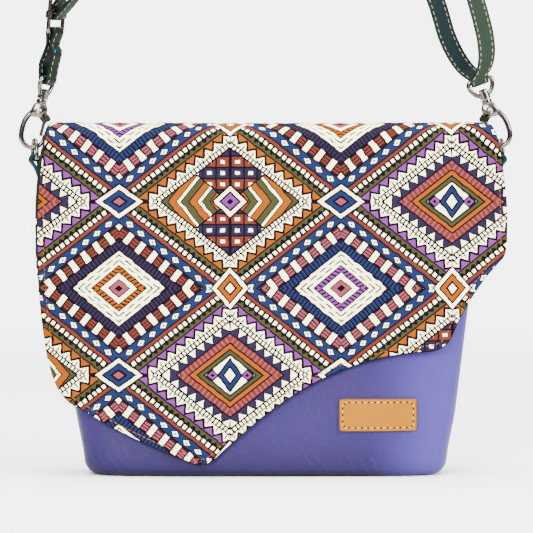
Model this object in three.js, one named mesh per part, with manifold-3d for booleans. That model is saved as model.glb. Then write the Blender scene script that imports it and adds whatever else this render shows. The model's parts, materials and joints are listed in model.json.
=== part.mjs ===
// Flap crossbody bag: a boxed leather body, a printed two-pointed flap that turns on the back of the mouth,
// and a doubled strap carried by a slider and two swivel snap hooks.
// Millimetres, +Z up, the front faces -Y and the base stands on Z = 0.
import * as THREE from 'three';
import { mergeVertices } from 'three/addons/utils/BufferGeometryUtils.js';
import Module from 'manifold-3d';

const wasm = await Module();
wasm.setup();

// Room left between pieces that touch
const GAP = 0.35;

// Which way a side lies from the middle
const SIGN = { left: -1, right: 1 };

// Body
const BODY_HEIGHT = 222.5;
const BASE_HALF_WIDTH = 117.5;
const MOUTH_HALF_WIDTH = 145;
const BASE_HALF_DEPTH = 37;
const MOUTH_HALF_DEPTH = 12;
const DEPTH_CURVE = 1.25;
const CORNER_POWER = 5;
const BASE_EDGE_RADIUS = 9;
const LEATHER = 2;
const POUCH_WALL = 0.8;
const POUCH_DROP = 3;

// Flap. Sides and corners are measured out from the mouth's sides. The lower edge is a chain of curves, each
// given by its control points and its end, as distance from the middle, for a mouth of the drawn half width,
// and height above the base: left corner, left slope, left tip, valley, right tip, right slope and right
// corner.
const FLAP_PANEL = 1.6;
const FLAP_LINING = 1;
const FLAP_SHOULDER_DROP = 9;
const FLAP_HINGE_RISE = 1.5;
const FLAP_CROWN_RISE = 9.5;
const FLAP_CROWN_LEAN = 0.7;
const FLAP_CROWN_SPREAD = 0.8;
const FLAP_HINGE_OUT = { left: -12, right: -10 };
const FLAP_SHOULDER_OUT = { left: -1.2, right: 7.2 };
const FLAP_OUT = { left: 3, right: 11.4 };
const FLAP_SIDE_DROP = 50;
const FLAP_SIDE_WRAP = 7;
const FLAP_WRAP_START = 0.6;
const FLAP_CORNER_OUT = { left: -6, right: 11.4 };
const FLAP_CORNER_HEIGHT = { left: 68, right: 146 };
const FLAP_DRAWN_HALF_WIDTH = 145;
const FLAP_EDGE_START = [-141, 78];
const FLAP_EDGE = [
  [[-137, 51], [-120, 45]],
  [[-90, 26], [-50, 11]],
  [[-41, 6], [-33, 12.5]],
  [[0, 44], [40, 78], [104, 82]],
  [[116, 82], [120.5, 91.5]],
  [[133, 121], [153.4, 141]],
  [[156.4, 144], [156.4, 150]],
];
const SEAM_STRIP_HEIGHT = 28;
const SEAM_STRIP_DROP = 3;

// Magnetic snap under the flap
const SNAP_X = -45;
const SNAP_HEIGHT = 62;
const SOCKET_RADIUS = 9;
const SOCKET_THICKNESS = 1.8;
const STUD_RADIUS = 7.5;
const STUD_THICKNESS = 1.8;

// Label patch
const LABEL_X = 73;
const LABEL_HEIGHT = 40.5;
const LABEL_WIDTH = 50.5;
const LABEL_TALL = 21;
const LABEL_THICKNESS = 1.4;
const LABEL_CORNER = 2.5;

// Rings and the leather tabs that hold them at the top side corners, placed from the mouth's sides, back and
// top. The outline is half of a ring, as shares of its half width and its height.
const HARDWARE_BACK = 3;
const HARDWARE_Y = MOUTH_HALF_DEPTH + HARDWARE_BACK;
const RING_OUT = { left: 7, right: 10 };
const RING_X = { left: MOUTH_HALF_WIDTH + RING_OUT.left, right: MOUTH_HALF_WIDTH + RING_OUT.right };
const RING_BAR_DROP = 17.5;
const RING_BAR_HEIGHT = BODY_HEIGHT - RING_BAR_DROP;
const RING_TALL = 13;
const RING_HALF_WIDTH = 7;
const RING_WIRE = 1.3;
const RING_TURN = 15;
const RING_OUTLINE = [[0, 0], [0.72, 0.01], [1, 0.2], [0.9, 0.6], [0.52, 0.93]];
const TAB_WIDTH = 9;
const TAB_LEATHER = 1.6;
const TAB_LENGTH = 26;
const TAB_SEAM_Y = 6;
const TAB_TURNS = [-0.1, 0.2, 0.5, 0.8, 1.1];

// Swivel snap hooks, hung in the rings with a lap. The claw's middle line runs from the heel to the bowl and
// up to the nose. Heel places are a share of the claw's half width and a depth below the heel, bowl places
// are shares of it both ways.
const HOOK_IN = { left: 5, right: 10 };
const HOOK_X = { left: RING_X.left - HOOK_IN.left, right: RING_X.right - HOOK_IN.right };
const HOOK_TILT = { left: 15, right: 20 };
const CLAW_RADIUS = 2;
const CLAW_HALF_WIDTH = 7.7;
const CLAW_DEPTH = 33;
const LINK_LAP = 6;
const HOOK_HEIGHT = RING_BAR_HEIGHT + RING_TALL + CLAW_DEPTH - LINK_LAP;
const CLAW_HEEL = [[0.4, -2], [0.85, 3.5], [1, 9]];
const CLAW_BOWL = [[0.9, 0.35], [0.5, 0.85], [0, 1], [-0.58, 0.82], [-0.95, 0.35]];
const CLAW_OVAL = 1.1;
const NOSE_DEPTH = 22.6;
const NOSE_SHARE = 0.75;
const NOSE_LEAN = 1.03;
const HEEL_OVERLAP = 2.5;
const HEAD_WIDTH = 10.5;
const HEAD_TOP = 3;
const HEAD_BOTTOM = 13;
const HEAD_THICKNESS = 6.6;
const HEAD_EDGE = 0.5;
const HEAD_CORNER = 3;
const HEAD_SHOULDER = 2;
const HEAD_LIP = 1.5;
const NECK_RADIUS = 3.6;
const SHANK_RADIUS = 1.7;
const PEEN_RADIUS = 3;
const PEEN_HEIGHT = 1.8;
const GATE_THICKNESS = 3;
const GATE_HUB = 2.7;
const GATE_BAR = 2;
const GATE_TIP_DROP = 1.4;
const GATE_THUMB = [2.6, 2.4];
const PIVOT_DEPTH = 8.3;
const RIVET_RADIUS = 1.1;
const RIVET_HEAD = 1.9;
const RIVET_HEAD_HEIGHT = 0.5;
const SPRING_WIRE = 0.22;
const SPRING_TURNS = 2;

// Bails
const BAIL_WIRE = 1.5;
const BAIL_BAR_HEIGHT = 13.5;
const BOSS_RADIUS = 3.6;
const BOSS_HEIGHT = 4.6;
const BAIL_SHOULDER = [[0.56, 1.2], [0.93, 5.6]];
const BAIL_CORNER = [0.76, 1.8];

// Strap and slider. The long strap's inner run goes from the right bail over the arch to the slider, and its
// outer run goes back. Their places are in from the side's hook, behind it and up from it, and the arch's
// are from the middle.
const STRAP_WIDTH = 12;
const STRAP_LEATHER = 2.2;
const STRAP_PLAY = 0.5;
const STRAP_TURN = { left: 62, right: 0 };
const STRAP_LEAN = 36;
const STRAP_RISE = 260;
const STRAP_TOP = HOOK_HEIGHT + STRAP_RISE;
const STRAP_ARCH_DROP = { inner: 25, outer: 17 };
const STRAP_TWIST = [20, 160];
const STRAP_INNER_START = [[17.5, 4, 27], [25.5, 3.5, 39], [33.5, 2.5, 65], [53, 1, 107], [85, 0, 180]];
const STRAP_INNER_ARCH = [30, 0, -23];
const STRAP_INNER_END = [[89, 0, 180], [50, -2, 107]];
const STRAP_OUTER_START = [[41, 1, 107], [77, 0, 185]];
const STRAP_OUTER_ARCH = [-32, 0, 46];
const STRAP_OUTER_END = [[47, 0, 185], [15, -4, 100], [7.5, -5.5, 65], [0.7, -6, 35]];
const STRAP_TURNS = [0.06, 0, -0.25, -0.5, -0.75, -1, -1.06];
const SLIDER_IN = 9.4;
const SLIDER_LEAN = 6;
const SLIDER_RISE = 55.5;
const SLIDER_WIRE = 1.4;
const SLIDER_HALF_LENGTH = 12;
const COLLAR_RADIUS = 2.4;
const COLLAR_HEIGHT = 4.5;

// Facets
const BODY_SIDES = 40;
const EDGE_STEPS = 3;
const WALL_STEPS = 6;
const EDGE_CURVE_STEPS = 4;
const CROWN_STEPS = 6;
const FRONT_STEPS = 6;
const STRIP_STEPS = 2;
const STRAP_STEPS = 3;
const LABEL_ROWS = 8;
const LABEL_COLUMNS = 6;
const TAB_STEPS = 26;
const CLAW_STEPS = 24;
const RING_STEPS = 24;
const BAIL_STEPS = 28;
const COIL_STEPS = 14;
const CURVE_SEGMENTS = 4;
const ROUND_SIDES = 20;
const FITTING_SIDES = 14;
const CLAW_SIDES = 10;
const WIRE_SIDES = 8;
const COIL_SIDES = 5;

// Sizes that follow from the ones above
const STANDOFF = SOCKET_THICKNESS + STUD_THICKNESS + FLAP_LINING + 4 * GAP;
const BAIL_HALF_WIDTH = STRAP_WIDTH / 2 + STRAP_PLAY + BAIL_WIRE;
const SLIDER_HALF_WIDTH = STRAP_WIDTH / 2 + STRAP_PLAY + COLLAR_RADIUS;
const SLIDER_CORNER = STRAP_PLAY + COLLAR_RADIUS;
const RIVET_HOLE = RIVET_RADIUS + GAP;
const SLOT_HALF = GATE_THICKNESS / 2 + GAP;

const leather = (color) => ({ color, roughness: 0.62, metalness: 0 });
const VIOLET = leather(0x6a69a8);
const GREEN = leather(0x4b574a);
const TEAL = leather(0x4f7076);
const TAN = leather(0xdcab70);
const PRINT = { color: 0xcbbfc0, roughness: 0.8, metalness: 0 };
const CANVAS = { color: 0xb9ad95, roughness: 0.9, metalness: 0 };
const NICKEL = { color: 0xc9c9c6, roughness: 0.22, metalness: 1 };
const STEEL = { color: 0x9a9a98, roughness: 0.35, metalness: 1 };

const radians = THREE.MathUtils.degToRad;
const mix = THREE.MathUtils.lerp;
const point = (x, y, z) => new THREE.Vector3(x, y, z);

const bag = new THREE.Group();

function addPiece(name, geometry, finish, parent = bag) {
  const mesh = new THREE.Mesh(geometry, new THREE.MeshStandardMaterial(finish));
  mesh.name = name;
  parent.add(mesh);
  return mesh;
}

// A closed mesh from points and triangles, turned so that its faces point out
function closedMesh(points, triangles) {
  let volume = 0;
  for (let i = 0; i < triangles.length; i += 3) {
    const [a, b, c] = [0, 1, 2].map((k) => points[triangles[i + k]]);
    volume += a.dot(b.clone().cross(c));
  }
  const geometry = new THREE.BufferGeometry().setFromPoints(points);
  geometry.setIndex(volume < 0 ? triangles.toReversed() : triangles);
  return geometry;
}

// Joins rings of points into a skin, with a cap at each end or run round into an endless loop
function loft(rings, endless = false) {
  const sides = rings[0].length;
  const triangles = [];
  const links = endless ? rings.length : rings.length - 1;
  for (let r = 0; r < links; r += 1) {
    const near = r * sides;
    const far = ((r + 1) % rings.length) * sides;
    for (let i = 0; i < sides; i += 1) {
      const next = (i + 1) % sides;
      triangles.push(near + i, near + next, far + next, near + i, far + next, far + i);
    }
  }
  const last = (rings.length - 1) * sides;
  for (let i = 1; i < sides - 1 && !endless; i += 1) {
    triangles.push(0, i + 1, i, last, last + i, last + i + 1);
  }
  return closedMesh(rings.flat(), triangles);
}

// A bent sheet: a grid of places on a surface, given two faces at offsets along the surface's normal
function sheet(rows, columns, surface, under, over) {
  const step = 0.01;
  const faces = [under, over].map((offset) => {
    const face = [];
    for (let r = 0; r <= rows; r += 1) {
      for (let c = 0; c <= columns; c += 1) {
        const place = surface(r, c);
        const along = surface(r + (r < rows ? step : -step), c).sub(place).multiplyScalar(r < rows ? 1 : -1);
        const across = surface(r, c + (c < columns ? step : -step)).sub(place);
        across.multiplyScalar(c < columns ? 1 : -1);
        face.push(place.clone().addScaledVector(along.cross(across).normalize(), offset));
      }
    }
    return face;
  });
  const wide = columns + 1;
  const skip = faces[0].length;
  const triangles = [];
  for (let r = 0; r < rows; r += 1) {
    for (let c = 0; c < columns; c += 1) {
      const a = r * wide + c;
      const [b, d, e] = [a + 1, a + wide, a + wide + 1];
      triangles.push(a, b, e, a, e, d);
      triangles.push(skip + a, skip + e, skip + b, skip + a, skip + d, skip + e);
    }
  }
  const rim = [];
  for (let c = 0; c < columns; c += 1) rim.push(c);
  for (let r = 0; r < rows; r += 1) rim.push(r * wide + columns);
  for (let c = columns; c > 0; c -= 1) rim.push(rows * wide + c);
  for (let r = rows; r > 0; r -= 1) rim.push(r * wide);
  rim.forEach((a, i) => {
    const b = rim[(i + 1) % rim.length];
    triangles.push(a, skip + b, b, a, skip + a, skip + b);
  });
  return closedMesh(faces.flat(), triangles);
}

const rectangle = (width, tall) => [
  [-width / 2, -tall / 2],
  [width / 2, -tall / 2],
  [width / 2, tall / 2],
  [-width / 2, tall / 2],
];

function ellipse(halfWidth, halfTall, sides = WIRE_SIDES) {
  return Array.from({ length: sides }, (_, i) => {
    const turn = (i / sides) * Math.PI * 2;
    return [halfWidth * Math.cos(turn), halfTall * Math.sin(turn)];
  });
}

// Runs a section along a line of centres. widthAt gives the direction of the section's first axis.
function sweep(centres, sectionAt, widthAt, endless = false) {
  const count = centres.length;
  const rings = centres.map((centre, i) => {
    const before = centres[endless ? (i + count - 1) % count : Math.max(i - 1, 0)];
    const after = centres[endless ? (i + 1) % count : Math.min(i + 1, count - 1)];
    const tangent = after.clone().sub(before).normalize();
    const normal = tangent.clone().cross(widthAt(i)).normalize();
    const width = normal.clone().cross(tangent);
    return sectionAt(i).map(([w, n]) => centre.clone().addScaledVector(width, w).addScaledVector(normal, n));
  });
  return loft(rings, endless);
}

function toSolid(geometry) {
  const bare = geometry.clone();
  bare.deleteAttribute('normal');
  bare.deleteAttribute('uv');
  const merged = mergeVertices(bare);
  const vertProperties = new Float32Array(merged.attributes.position.array);
  const triVerts = new Uint32Array(merged.index.array);
  return new wasm.Manifold(new wasm.Mesh({ numProp: 3, vertProperties, triVerts }));
}

function toGeometry(solid) {
  const { vertProperties, triVerts } = solid.getMesh();
  const geometry = new THREE.BufferGeometry();
  geometry.setAttribute('position', new THREE.BufferAttribute(vertProperties, 3));
  geometry.setIndex(new THREE.BufferAttribute(triVerts, 1));
  return geometry;
}

function combine(kept, added, removed = []) {
  let solid = toSolid(kept);
  added.forEach((geometry) => { solid = solid.add(toSolid(geometry)); });
  removed.forEach((geometry) => { solid = solid.subtract(toSolid(geometry)); });
  return toGeometry(solid);
}

// A round bar whose middle is at the origin, along X, Y or Z
function bar(radius, length, axis, sides = ROUND_SIDES) {
  const geometry = new THREE.CylinderGeometry(radius, radius, length, sides);
  if (axis === 'x') geometry.rotateZ(Math.PI / 2);
  if (axis === 'z') geometry.rotateX(Math.PI / 2);
  return geometry;
}

// A turned piece round the Y axis, from radii and places along it
function turned(profile) {
  return new THREE.LatheGeometry(profile.map(([r, y]) => new THREE.Vector2(r, y)), FITTING_SIDES);
}

// Body and pouch

const bodyHalfWidth = (height) => mix(BASE_HALF_WIDTH, MOUTH_HALF_WIDTH, height / BODY_HEIGHT);

function bodyHalfDepth(height) {
  const share = Math.max(height, 0) / BODY_HEIGHT;
  return mix(BASE_HALF_DEPTH, MOUTH_HALF_DEPTH, share ** DEPTH_CURVE);
}

// How far the front or back panel stands from the middle plane, at a place across and up it
function panelDepth(x, height) {
  const share = Math.min(Math.abs(x) / bodyHalfWidth(height), 1);
  return bodyHalfDepth(height) * (1 - share ** CORNER_POWER) ** (1 / CORNER_POWER);
}

function bodyRing(height, inset) {
  const squared = (v) => Math.sign(v) * Math.abs(v) ** (2 / CORNER_POWER);
  return Array.from({ length: BODY_SIDES }, (_, i) => {
    const turn = (i / BODY_SIDES) * Math.PI * 2;
    const x = (bodyHalfWidth(height) - inset) * squared(Math.cos(turn));
    const y = (bodyHalfDepth(height) - inset) * squared(Math.sin(turn));
    return point(x, y, height);
  });
}

function wallRings(inset, top) {
  const radius = BASE_EDGE_RADIUS - inset;
  const rings = [];
  for (let k = 0; k <= EDGE_STEPS; k += 1) {
    const turn = (k / EDGE_STEPS) * (Math.PI / 2);
    rings.push(bodyRing(inset + radius * (1 - Math.cos(turn)), inset + radius * (1 - Math.sin(turn))));
  }
  for (let k = 1; k <= WALL_STEPS; k += 1) {
    rings.push(bodyRing(mix(BASE_EDGE_RADIUS, top, k / WALL_STEPS), inset));
  }
  return rings;
}

const cup = (outside, inside, top) => (
  loft([...wallRings(outside, top), ...wallRings(inside, top).reverse()])
);

function addBody() {
  addPiece('body_shell', cup(0, LEATHER, BODY_HEIGHT), VIOLET);
  const pouch = LEATHER + GAP;
  addPiece('lining_pouch', cup(pouch, pouch + POUCH_WALL, BODY_HEIGHT - POUCH_DROP), CANVAS);
}

// Flap

const flapTop = BODY_HEIGHT - FLAP_SHOULDER_DROP;
const flapY = (height) => -(bodyHalfDepth(height) + STANDOFF);
const hingeY = MOUTH_HALF_DEPTH + FLAP_HINGE_RISE;
const hingeHeight = BODY_HEIGHT + FLAP_HINGE_RISE;

// The flap's arch over the mouth, from the hinge line at the back to the front shoulder
const crown = new THREE.CubicBezierCurve3(
  point(0, hingeY, hingeHeight),
  point(0, hingeY * FLAP_CROWN_LEAN, BODY_HEIGHT + FLAP_CROWN_RISE),
  point(0, flapY(flapTop), BODY_HEIGHT + FLAP_CROWN_RISE - FLAP_HINGE_RISE),
  point(0, flapY(flapTop), flapTop),
);

// The flap's lower edge, from the left side round both points to the right side
function flapLowerEdge() {
  const edge = new THREE.Path();
  const drawn = ([x, height]) => [(x * MOUTH_HALF_WIDTH) / FLAP_DRAWN_HALF_WIDTH, height];
  edge.moveTo(...drawn(FLAP_EDGE_START));
  FLAP_EDGE.forEach((curve) => {
    const places = curve.flatMap(drawn);
    if (curve.length === 2) edge.quadraticCurveTo(...places);
    else edge.bezierCurveTo(...places);
  });
  return edge.getPoints(EDGE_CURVE_STEPS);
}

// Where the flap's left and right sides are at a height on its front
function flapSide(side, height) {
  const out = (measured) => SIGN[side] * (MOUTH_HALF_WIDTH + measured[side]);
  const below = flapTop - height;
  if (below < FLAP_SIDE_DROP) {
    return mix(out(FLAP_OUT), out(FLAP_SHOULDER_OUT), (1 - below / FLAP_SIDE_DROP) ** 2);
  }
  const share = (below - FLAP_SIDE_DROP) / (flapTop - FLAP_SIDE_DROP - FLAP_CORNER_HEIGHT[side]);
  return mix(out(FLAP_OUT), out(FLAP_CORNER_OUT), THREE.MathUtils.clamp(share, 0, 1) ** 2);
}

const lowerEdge = flapLowerEdge();
const flapColumns = lowerEdge.length - 1;
const leftSide = (height) => flapSide('left', height);
const rightSide = (height) => flapSide('right', height);
const hingeX = (share) => (
  mix(-MOUTH_HALF_WIDTH - FLAP_HINGE_OUT.left, MOUTH_HALF_WIDTH + FLAP_HINGE_OUT.right, share)
);

// A place on the flap's under face: rows run from the hinge line over the crown and down to the lower edge
function flapSurface(row, column) {
  const left = Math.min(Math.floor(column), flapColumns - 1);
  const foot = lowerEdge[left].clone().lerp(lowerEdge[left + 1], column - left);
  const share = (foot.x - leftSide(foot.y)) / (rightSide(foot.y) - leftSide(foot.y));
  if (row < CROWN_STEPS) {
    const along = row / CROWN_STEPS;
    const arch = crown.getPoint(along);
    const end = mix(leftSide(flapTop), rightSide(flapTop), share);
    return point(mix(hingeX(share), end, along ** FLAP_CROWN_SPREAD), arch.y, arch.z);
  }
  const height = mix(flapTop, foot.y, (row - CROWN_STEPS) / FRONT_STEPS);
  const x = mix(leftSide(height), rightSide(height), share);
  const outward = Math.max(Math.abs(2 * share - 1) - FLAP_WRAP_START, 0) / (1 - FLAP_WRAP_START);
  const settled = Math.min((flapTop - height) / FLAP_SIDE_DROP, 1);
  return point(x, flapY(height) + FLAP_SIDE_WRAP * outward ** 2 * settled, height);
}

function stripSurface(row, column) {
  const height = BODY_HEIGHT - SEAM_STRIP_DROP - SEAM_STRIP_HEIGHT * (1 - row / STRIP_STEPS);
  const x = hingeX(1 - column / flapColumns);
  return point(x, panelDepth(x, height) + GAP, height);
}

function addFlap() {
  const rows = CROWN_STEPS + FRONT_STEPS;
  addPiece('flap_panel', sheet(rows, flapColumns, flapSurface, 0, FLAP_PANEL), PRINT);
  addPiece('flap_lining', sheet(rows, flapColumns, flapSurface, -GAP - FLAP_LINING, -GAP), GREEN);
  const strip = sheet(STRIP_STEPS, flapColumns, stripSurface, -GAP - FLAP_PANEL, -GAP);
  addPiece('flap_seam_strip', strip, PRINT);
}

// Label patch and magnetic snap

function addLabel() {
  const surface = (row, column) => {
    const turn = (row / LABEL_ROWS - 0.5) * Math.PI;
    const rise = (LABEL_TALL / 2 - LABEL_CORNER) * Math.sign(turn) + LABEL_CORNER * Math.sin(turn);
    const reach = LABEL_WIDTH / 2 - LABEL_CORNER + LABEL_CORNER * Math.cos(turn);
    const across = LABEL_X + reach * ((2 * column) / LABEL_COLUMNS - 1);
    const height = LABEL_HEIGHT + rise;
    return point(across, -panelDepth(across, height), height);
  };
  const patch = sheet(LABEL_ROWS, LABEL_COLUMNS, surface, -GAP - LABEL_THICKNESS, -GAP);
  addPiece('label_patch', patch, TAN);
}

// A disc that lies on the front panel's slope, a given distance out from it
function snapDisc(name, radius, thickness, away, finish) {
  const lean = bodyHalfDepth(SNAP_HEIGHT - radius) - bodyHalfDepth(SNAP_HEIGHT + radius);
  const slope = Math.atan2(lean, 2 * radius);
  const disc = addPiece(name, bar(radius, thickness, 'y'), finish);
  disc.rotation.x = -slope;
  const out = away + thickness / 2;
  const y = -panelDepth(SNAP_X, SNAP_HEIGHT) - out * Math.cos(slope);
  disc.position.set(SNAP_X, y, SNAP_HEIGHT + out * Math.sin(slope));
}

function addSnap() {
  snapDisc('snap_socket', SOCKET_RADIUS, SOCKET_THICKNESS, GAP, NICKEL);
  snapDisc('snap_stud', STUD_RADIUS, STUD_THICKNESS, SOCKET_THICKNESS + 2 * GAP, NICKEL);
}

// Rings and tabs

function addRing(name, side) {
  const sign = SIGN[side];
  const turn = sign * radians(RING_TURN);
  const across = point(Math.sin(turn), Math.cos(turn), 0);
  const foot = point(sign * RING_X[side], HARDWARE_Y, RING_BAR_HEIGHT);
  const mirrored = RING_OUTLINE.slice(1).toReversed().map(([w, z]) => [-w, z]);
  const outline = [...RING_OUTLINE, [0, 1], ...mirrored];
  const places = outline.map(([w, z]) => (
    foot.clone().addScaledVector(across, w * RING_HALF_WIDTH).add(point(0, 0, z * RING_TALL))
  ));
  const line = new THREE.CatmullRomCurve3(places, true).getSpacedPoints(RING_STEPS).slice(0, -1);
  const facing = across.clone().cross(point(0, 0, 1));
  addPiece(name, sweep(line, () => ellipse(RING_WIRE, RING_WIRE), () => facing, true), NICKEL);
  return { across, foot };
}

// A leather strip folded round the ring's bar, with both ends sewn to the body's side
function addTab(name, side, ring) {
  const sign = SIGN[side];
  const out = ring.across.clone().cross(point(0, 0, sign));
  const radius = RING_WIRE + GAP + TAB_LEATHER / 2;
  const seamHeight = RING_BAR_HEIGHT - TAB_LENGTH;
  const seamX = bodyHalfWidth(seamHeight) + 2 * GAP + TAB_LEATHER / 2;
  const inner = point(sign * seamX, TAB_SEAM_Y, seamHeight);
  const outer = point(sign * (seamX + TAB_LEATHER + GAP), TAB_SEAM_Y, seamHeight);
  const round = (turn) => ring.foot.clone()
    .addScaledVector(out, radius * Math.cos(turn))
    .add(point(0, 0, radius * Math.sin(turn)));
  const arc = TAB_TURNS.map((share) => round(share * Math.PI));
  const half = (a, b) => a.clone().lerp(b, 0.5);
  const line = [outer, half(outer, arc[0]), ...arc, half(inner, arc.at(-1)), inner];
  const ends = new THREE.CatmullRomCurve3(line, false, 'centripetal').getSpacedPoints(TAB_STEPS);
  const seamAcross = point(0, 1, 0);
  const widthAt = (i) => {
    const share = THREE.MathUtils.clamp((ends[i].z - seamHeight) / TAB_LENGTH, 0, 1);
    return seamAcross.clone().lerp(ring.across, share);
  };
  addPiece(name, sweep(ends, () => rectangle(TAB_WIDTH, TAB_LEATHER), widthAt), TEAL);
}

// Swivel snap hooks, each in a frame with its origin under the bail's boss, X towards the claw's back and Z
// up the shank

function clawGeometry() {
  const wide = CLAW_HALF_WIDTH;
  const heel = HEAD_BOTTOM - HEEL_OVERLAP;
  const bowl = CLAW_DEPTH - wide;
  const line = new THREE.CatmullRomCurve3([
    ...CLAW_HEEL.map(([x, drop]) => point(x * wide, 0, -heel - drop)),
    ...CLAW_BOWL.map(([x, drop]) => point(x * wide, 0, -bowl - drop * wide)),
    point(-NOSE_LEAN * wide, 0, -NOSE_DEPTH),
  ], false, 'centripetal').getSpacedPoints(CLAW_STEPS);
  const sectionAt = (i) => {
    const radius = CLAW_RADIUS * mix(1, NOSE_SHARE, i / CLAW_STEPS);
    return ellipse(radius * CLAW_OVAL, radius, CLAW_SIDES);
  };
  return sweep(line, sectionAt, () => point(0, 1, 0));
}

// The neck, the shank through the boss and the peened end above it
function shankGeometry() {
  const peen = BOSS_HEIGHT + GAP;
  const profile = [
    [0, -HEAD_TOP - 2 * HEAD_EDGE],
    [NECK_RADIUS - HEAD_EDGE, -HEAD_TOP - 2 * HEAD_EDGE],
    [NECK_RADIUS, -HEAD_TOP + HEAD_EDGE],
    [NECK_RADIUS - GAP, -GAP],
    [SHANK_RADIUS, -GAP],
    [SHANK_RADIUS, peen],
    [PEEN_RADIUS, peen],
    [PEEN_RADIUS, peen + PEEN_HEIGHT * 0.5],
    [PEEN_RADIUS * 0.7, peen + PEEN_HEIGHT * 0.9],
    [0, peen + PEEN_HEIGHT],
  ];
  return turned(profile).rotateX(Math.PI / 2);
}

function headGeometry() {
  const edge = HEAD_EDGE;
  const side = HEAD_WIDTH / 2 - edge;
  const [top, shoulder] = [-HEAD_TOP - edge, -HEAD_TOP - HEAD_SHOULDER];
  const [corner, heel, lip] = [HEAD_CORNER, edge, HEAD_LIP].map((rise) => rise - HEAD_BOTTOM);
  const neck = NECK_RADIUS - edge;
  const turn = HEAD_WIDTH / 2 - HEAD_CORNER;
  const outline = new THREE.Shape();
  outline.moveTo(-side, corner);
  outline.quadraticCurveTo(-side, shoulder, -neck, top);
  outline.lineTo(neck, top);
  outline.quadraticCurveTo(side, shoulder, side, corner);
  outline.quadraticCurveTo(side, heel, turn, heel);
  outline.lineTo(-turn, lip);
  outline.quadraticCurveTo(-side, lip, -side, corner);
  const block = new THREE.ExtrudeGeometry(outline, {
    depth: HEAD_THICKNESS - 2 * edge,
    bevelThickness: edge,
    bevelSize: edge,
    bevelSegments: 1,
    curveSegments: CURVE_SEGMENTS,
  });
  return block.translate(0, 0, edge - HEAD_THICKNESS / 2).rotateX(Math.PI / 2);
}

function hookGeometry() {
  const slotRight = GATE_HUB + GAP;
  const slotTop = -PIVOT_DEPTH + GATE_HUB + GAP;
  const slotWide = HEAD_WIDTH + slotRight;
  const slotTall = HEAD_BOTTOM + slotTop + HEAD_LIP;
  const slot = new THREE.BoxGeometry(slotWide, 2 * SLOT_HALF, slotTall);
  slot.translate(slotRight - slotWide / 2, 0, slotTop - slotTall / 2);
  const hole = bar(RIVET_HOLE, HEAD_THICKNESS * 2, 'y', FITTING_SIDES).translate(0, 0, -PIVOT_DEPTH);
  return combine(headGeometry(), [shankGeometry(), clawGeometry()], [slot, hole]);
}

// The sprung trigger: a hub on the rivet, a thumb piece and a bar that shuts against the inside of the nose
function gateGeometry() {
  const shut = -CLAW_HALF_WIDTH * NOSE_LEAN + CLAW_RADIUS * NOSE_SHARE + GAP;
  const tip = -NOSE_DEPTH - GATE_TIP_DROP;
  const root = -HEAD_BOTTOM - HEAD_EDGE;
  const [thumbOut, thumbRise] = GATE_THUMB;
  const outline = new THREE.Shape();
  outline.absarc(0, -PIVOT_DEPTH, GATE_HUB, radians(-50), radians(170), false);
  outline.quadraticCurveTo(shut, -PIVOT_DEPTH, shut - thumbOut, root + thumbRise);
  outline.lineTo(shut - thumbOut, root + HEAD_EDGE);
  outline.quadraticCurveTo(shut, root - HEAD_EDGE, shut, root - HEAD_CORNER);
  outline.lineTo(shut, tip);
  outline.lineTo(shut + GATE_BAR, tip);
  outline.lineTo(shut + GATE_BAR, root - HEAD_LIP);
  const hub = new THREE.Path();
  hub.absarc(0, -PIVOT_DEPTH, RIVET_HOLE, 0, Math.PI * 2, true);
  outline.holes.push(hub);
  const shape = { depth: GATE_THICKNESS, bevelEnabled: false, curveSegments: 2 * CURVE_SEGMENTS };
  const flat = new THREE.ExtrudeGeometry(outline, shape);
  const gate = flat.translate(0, 0, -GATE_THICKNESS / 2).rotateX(Math.PI / 2);
  const pocket = bar(GATE_HUB + GAP, GATE_THICKNESS, 'y', FITTING_SIDES);
  pocket.translate(0, GATE_THICKNESS / 2, -PIVOT_DEPTH);
  return combine(gate, [], [pocket]);
}

function rivetGeometry() {
  const reach = HEAD_THICKNESS / 2 + GAP;
  const cap = reach + RIVET_HEAD_HEIGHT;
  const profile = [
    [0, -cap],
    [RIVET_HEAD * 0.7, -cap],
    [RIVET_HEAD, -reach],
    [RIVET_RADIUS, -reach],
    [RIVET_RADIUS, reach],
    [RIVET_HEAD, reach],
    [RIVET_HEAD * 0.7, cap],
    [0, cap],
  ];
  return turned(profile).translate(0, 0, -PIVOT_DEPTH);
}

function springGeometry() {
  const steps = SPRING_TURNS * COIL_STEPS;
  const radius = GATE_HUB - SPRING_WIRE - GAP;
  const room = GATE_THICKNESS / 2 - 2 * SPRING_WIRE - GAP;
  const line = Array.from({ length: steps + 1 }, (_, i) => {
    const turn = (i / COIL_STEPS) * Math.PI * 2;
    const y = GAP + SPRING_WIRE + room * (i / steps);
    return point(radius * Math.cos(turn), y, radius * Math.sin(turn) - PIVOT_DEPTH);
  });
  return sweep(line, () => ellipse(SPRING_WIRE, SPRING_WIRE, COIL_SIDES), () => point(0, 1, 0));
}

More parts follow.
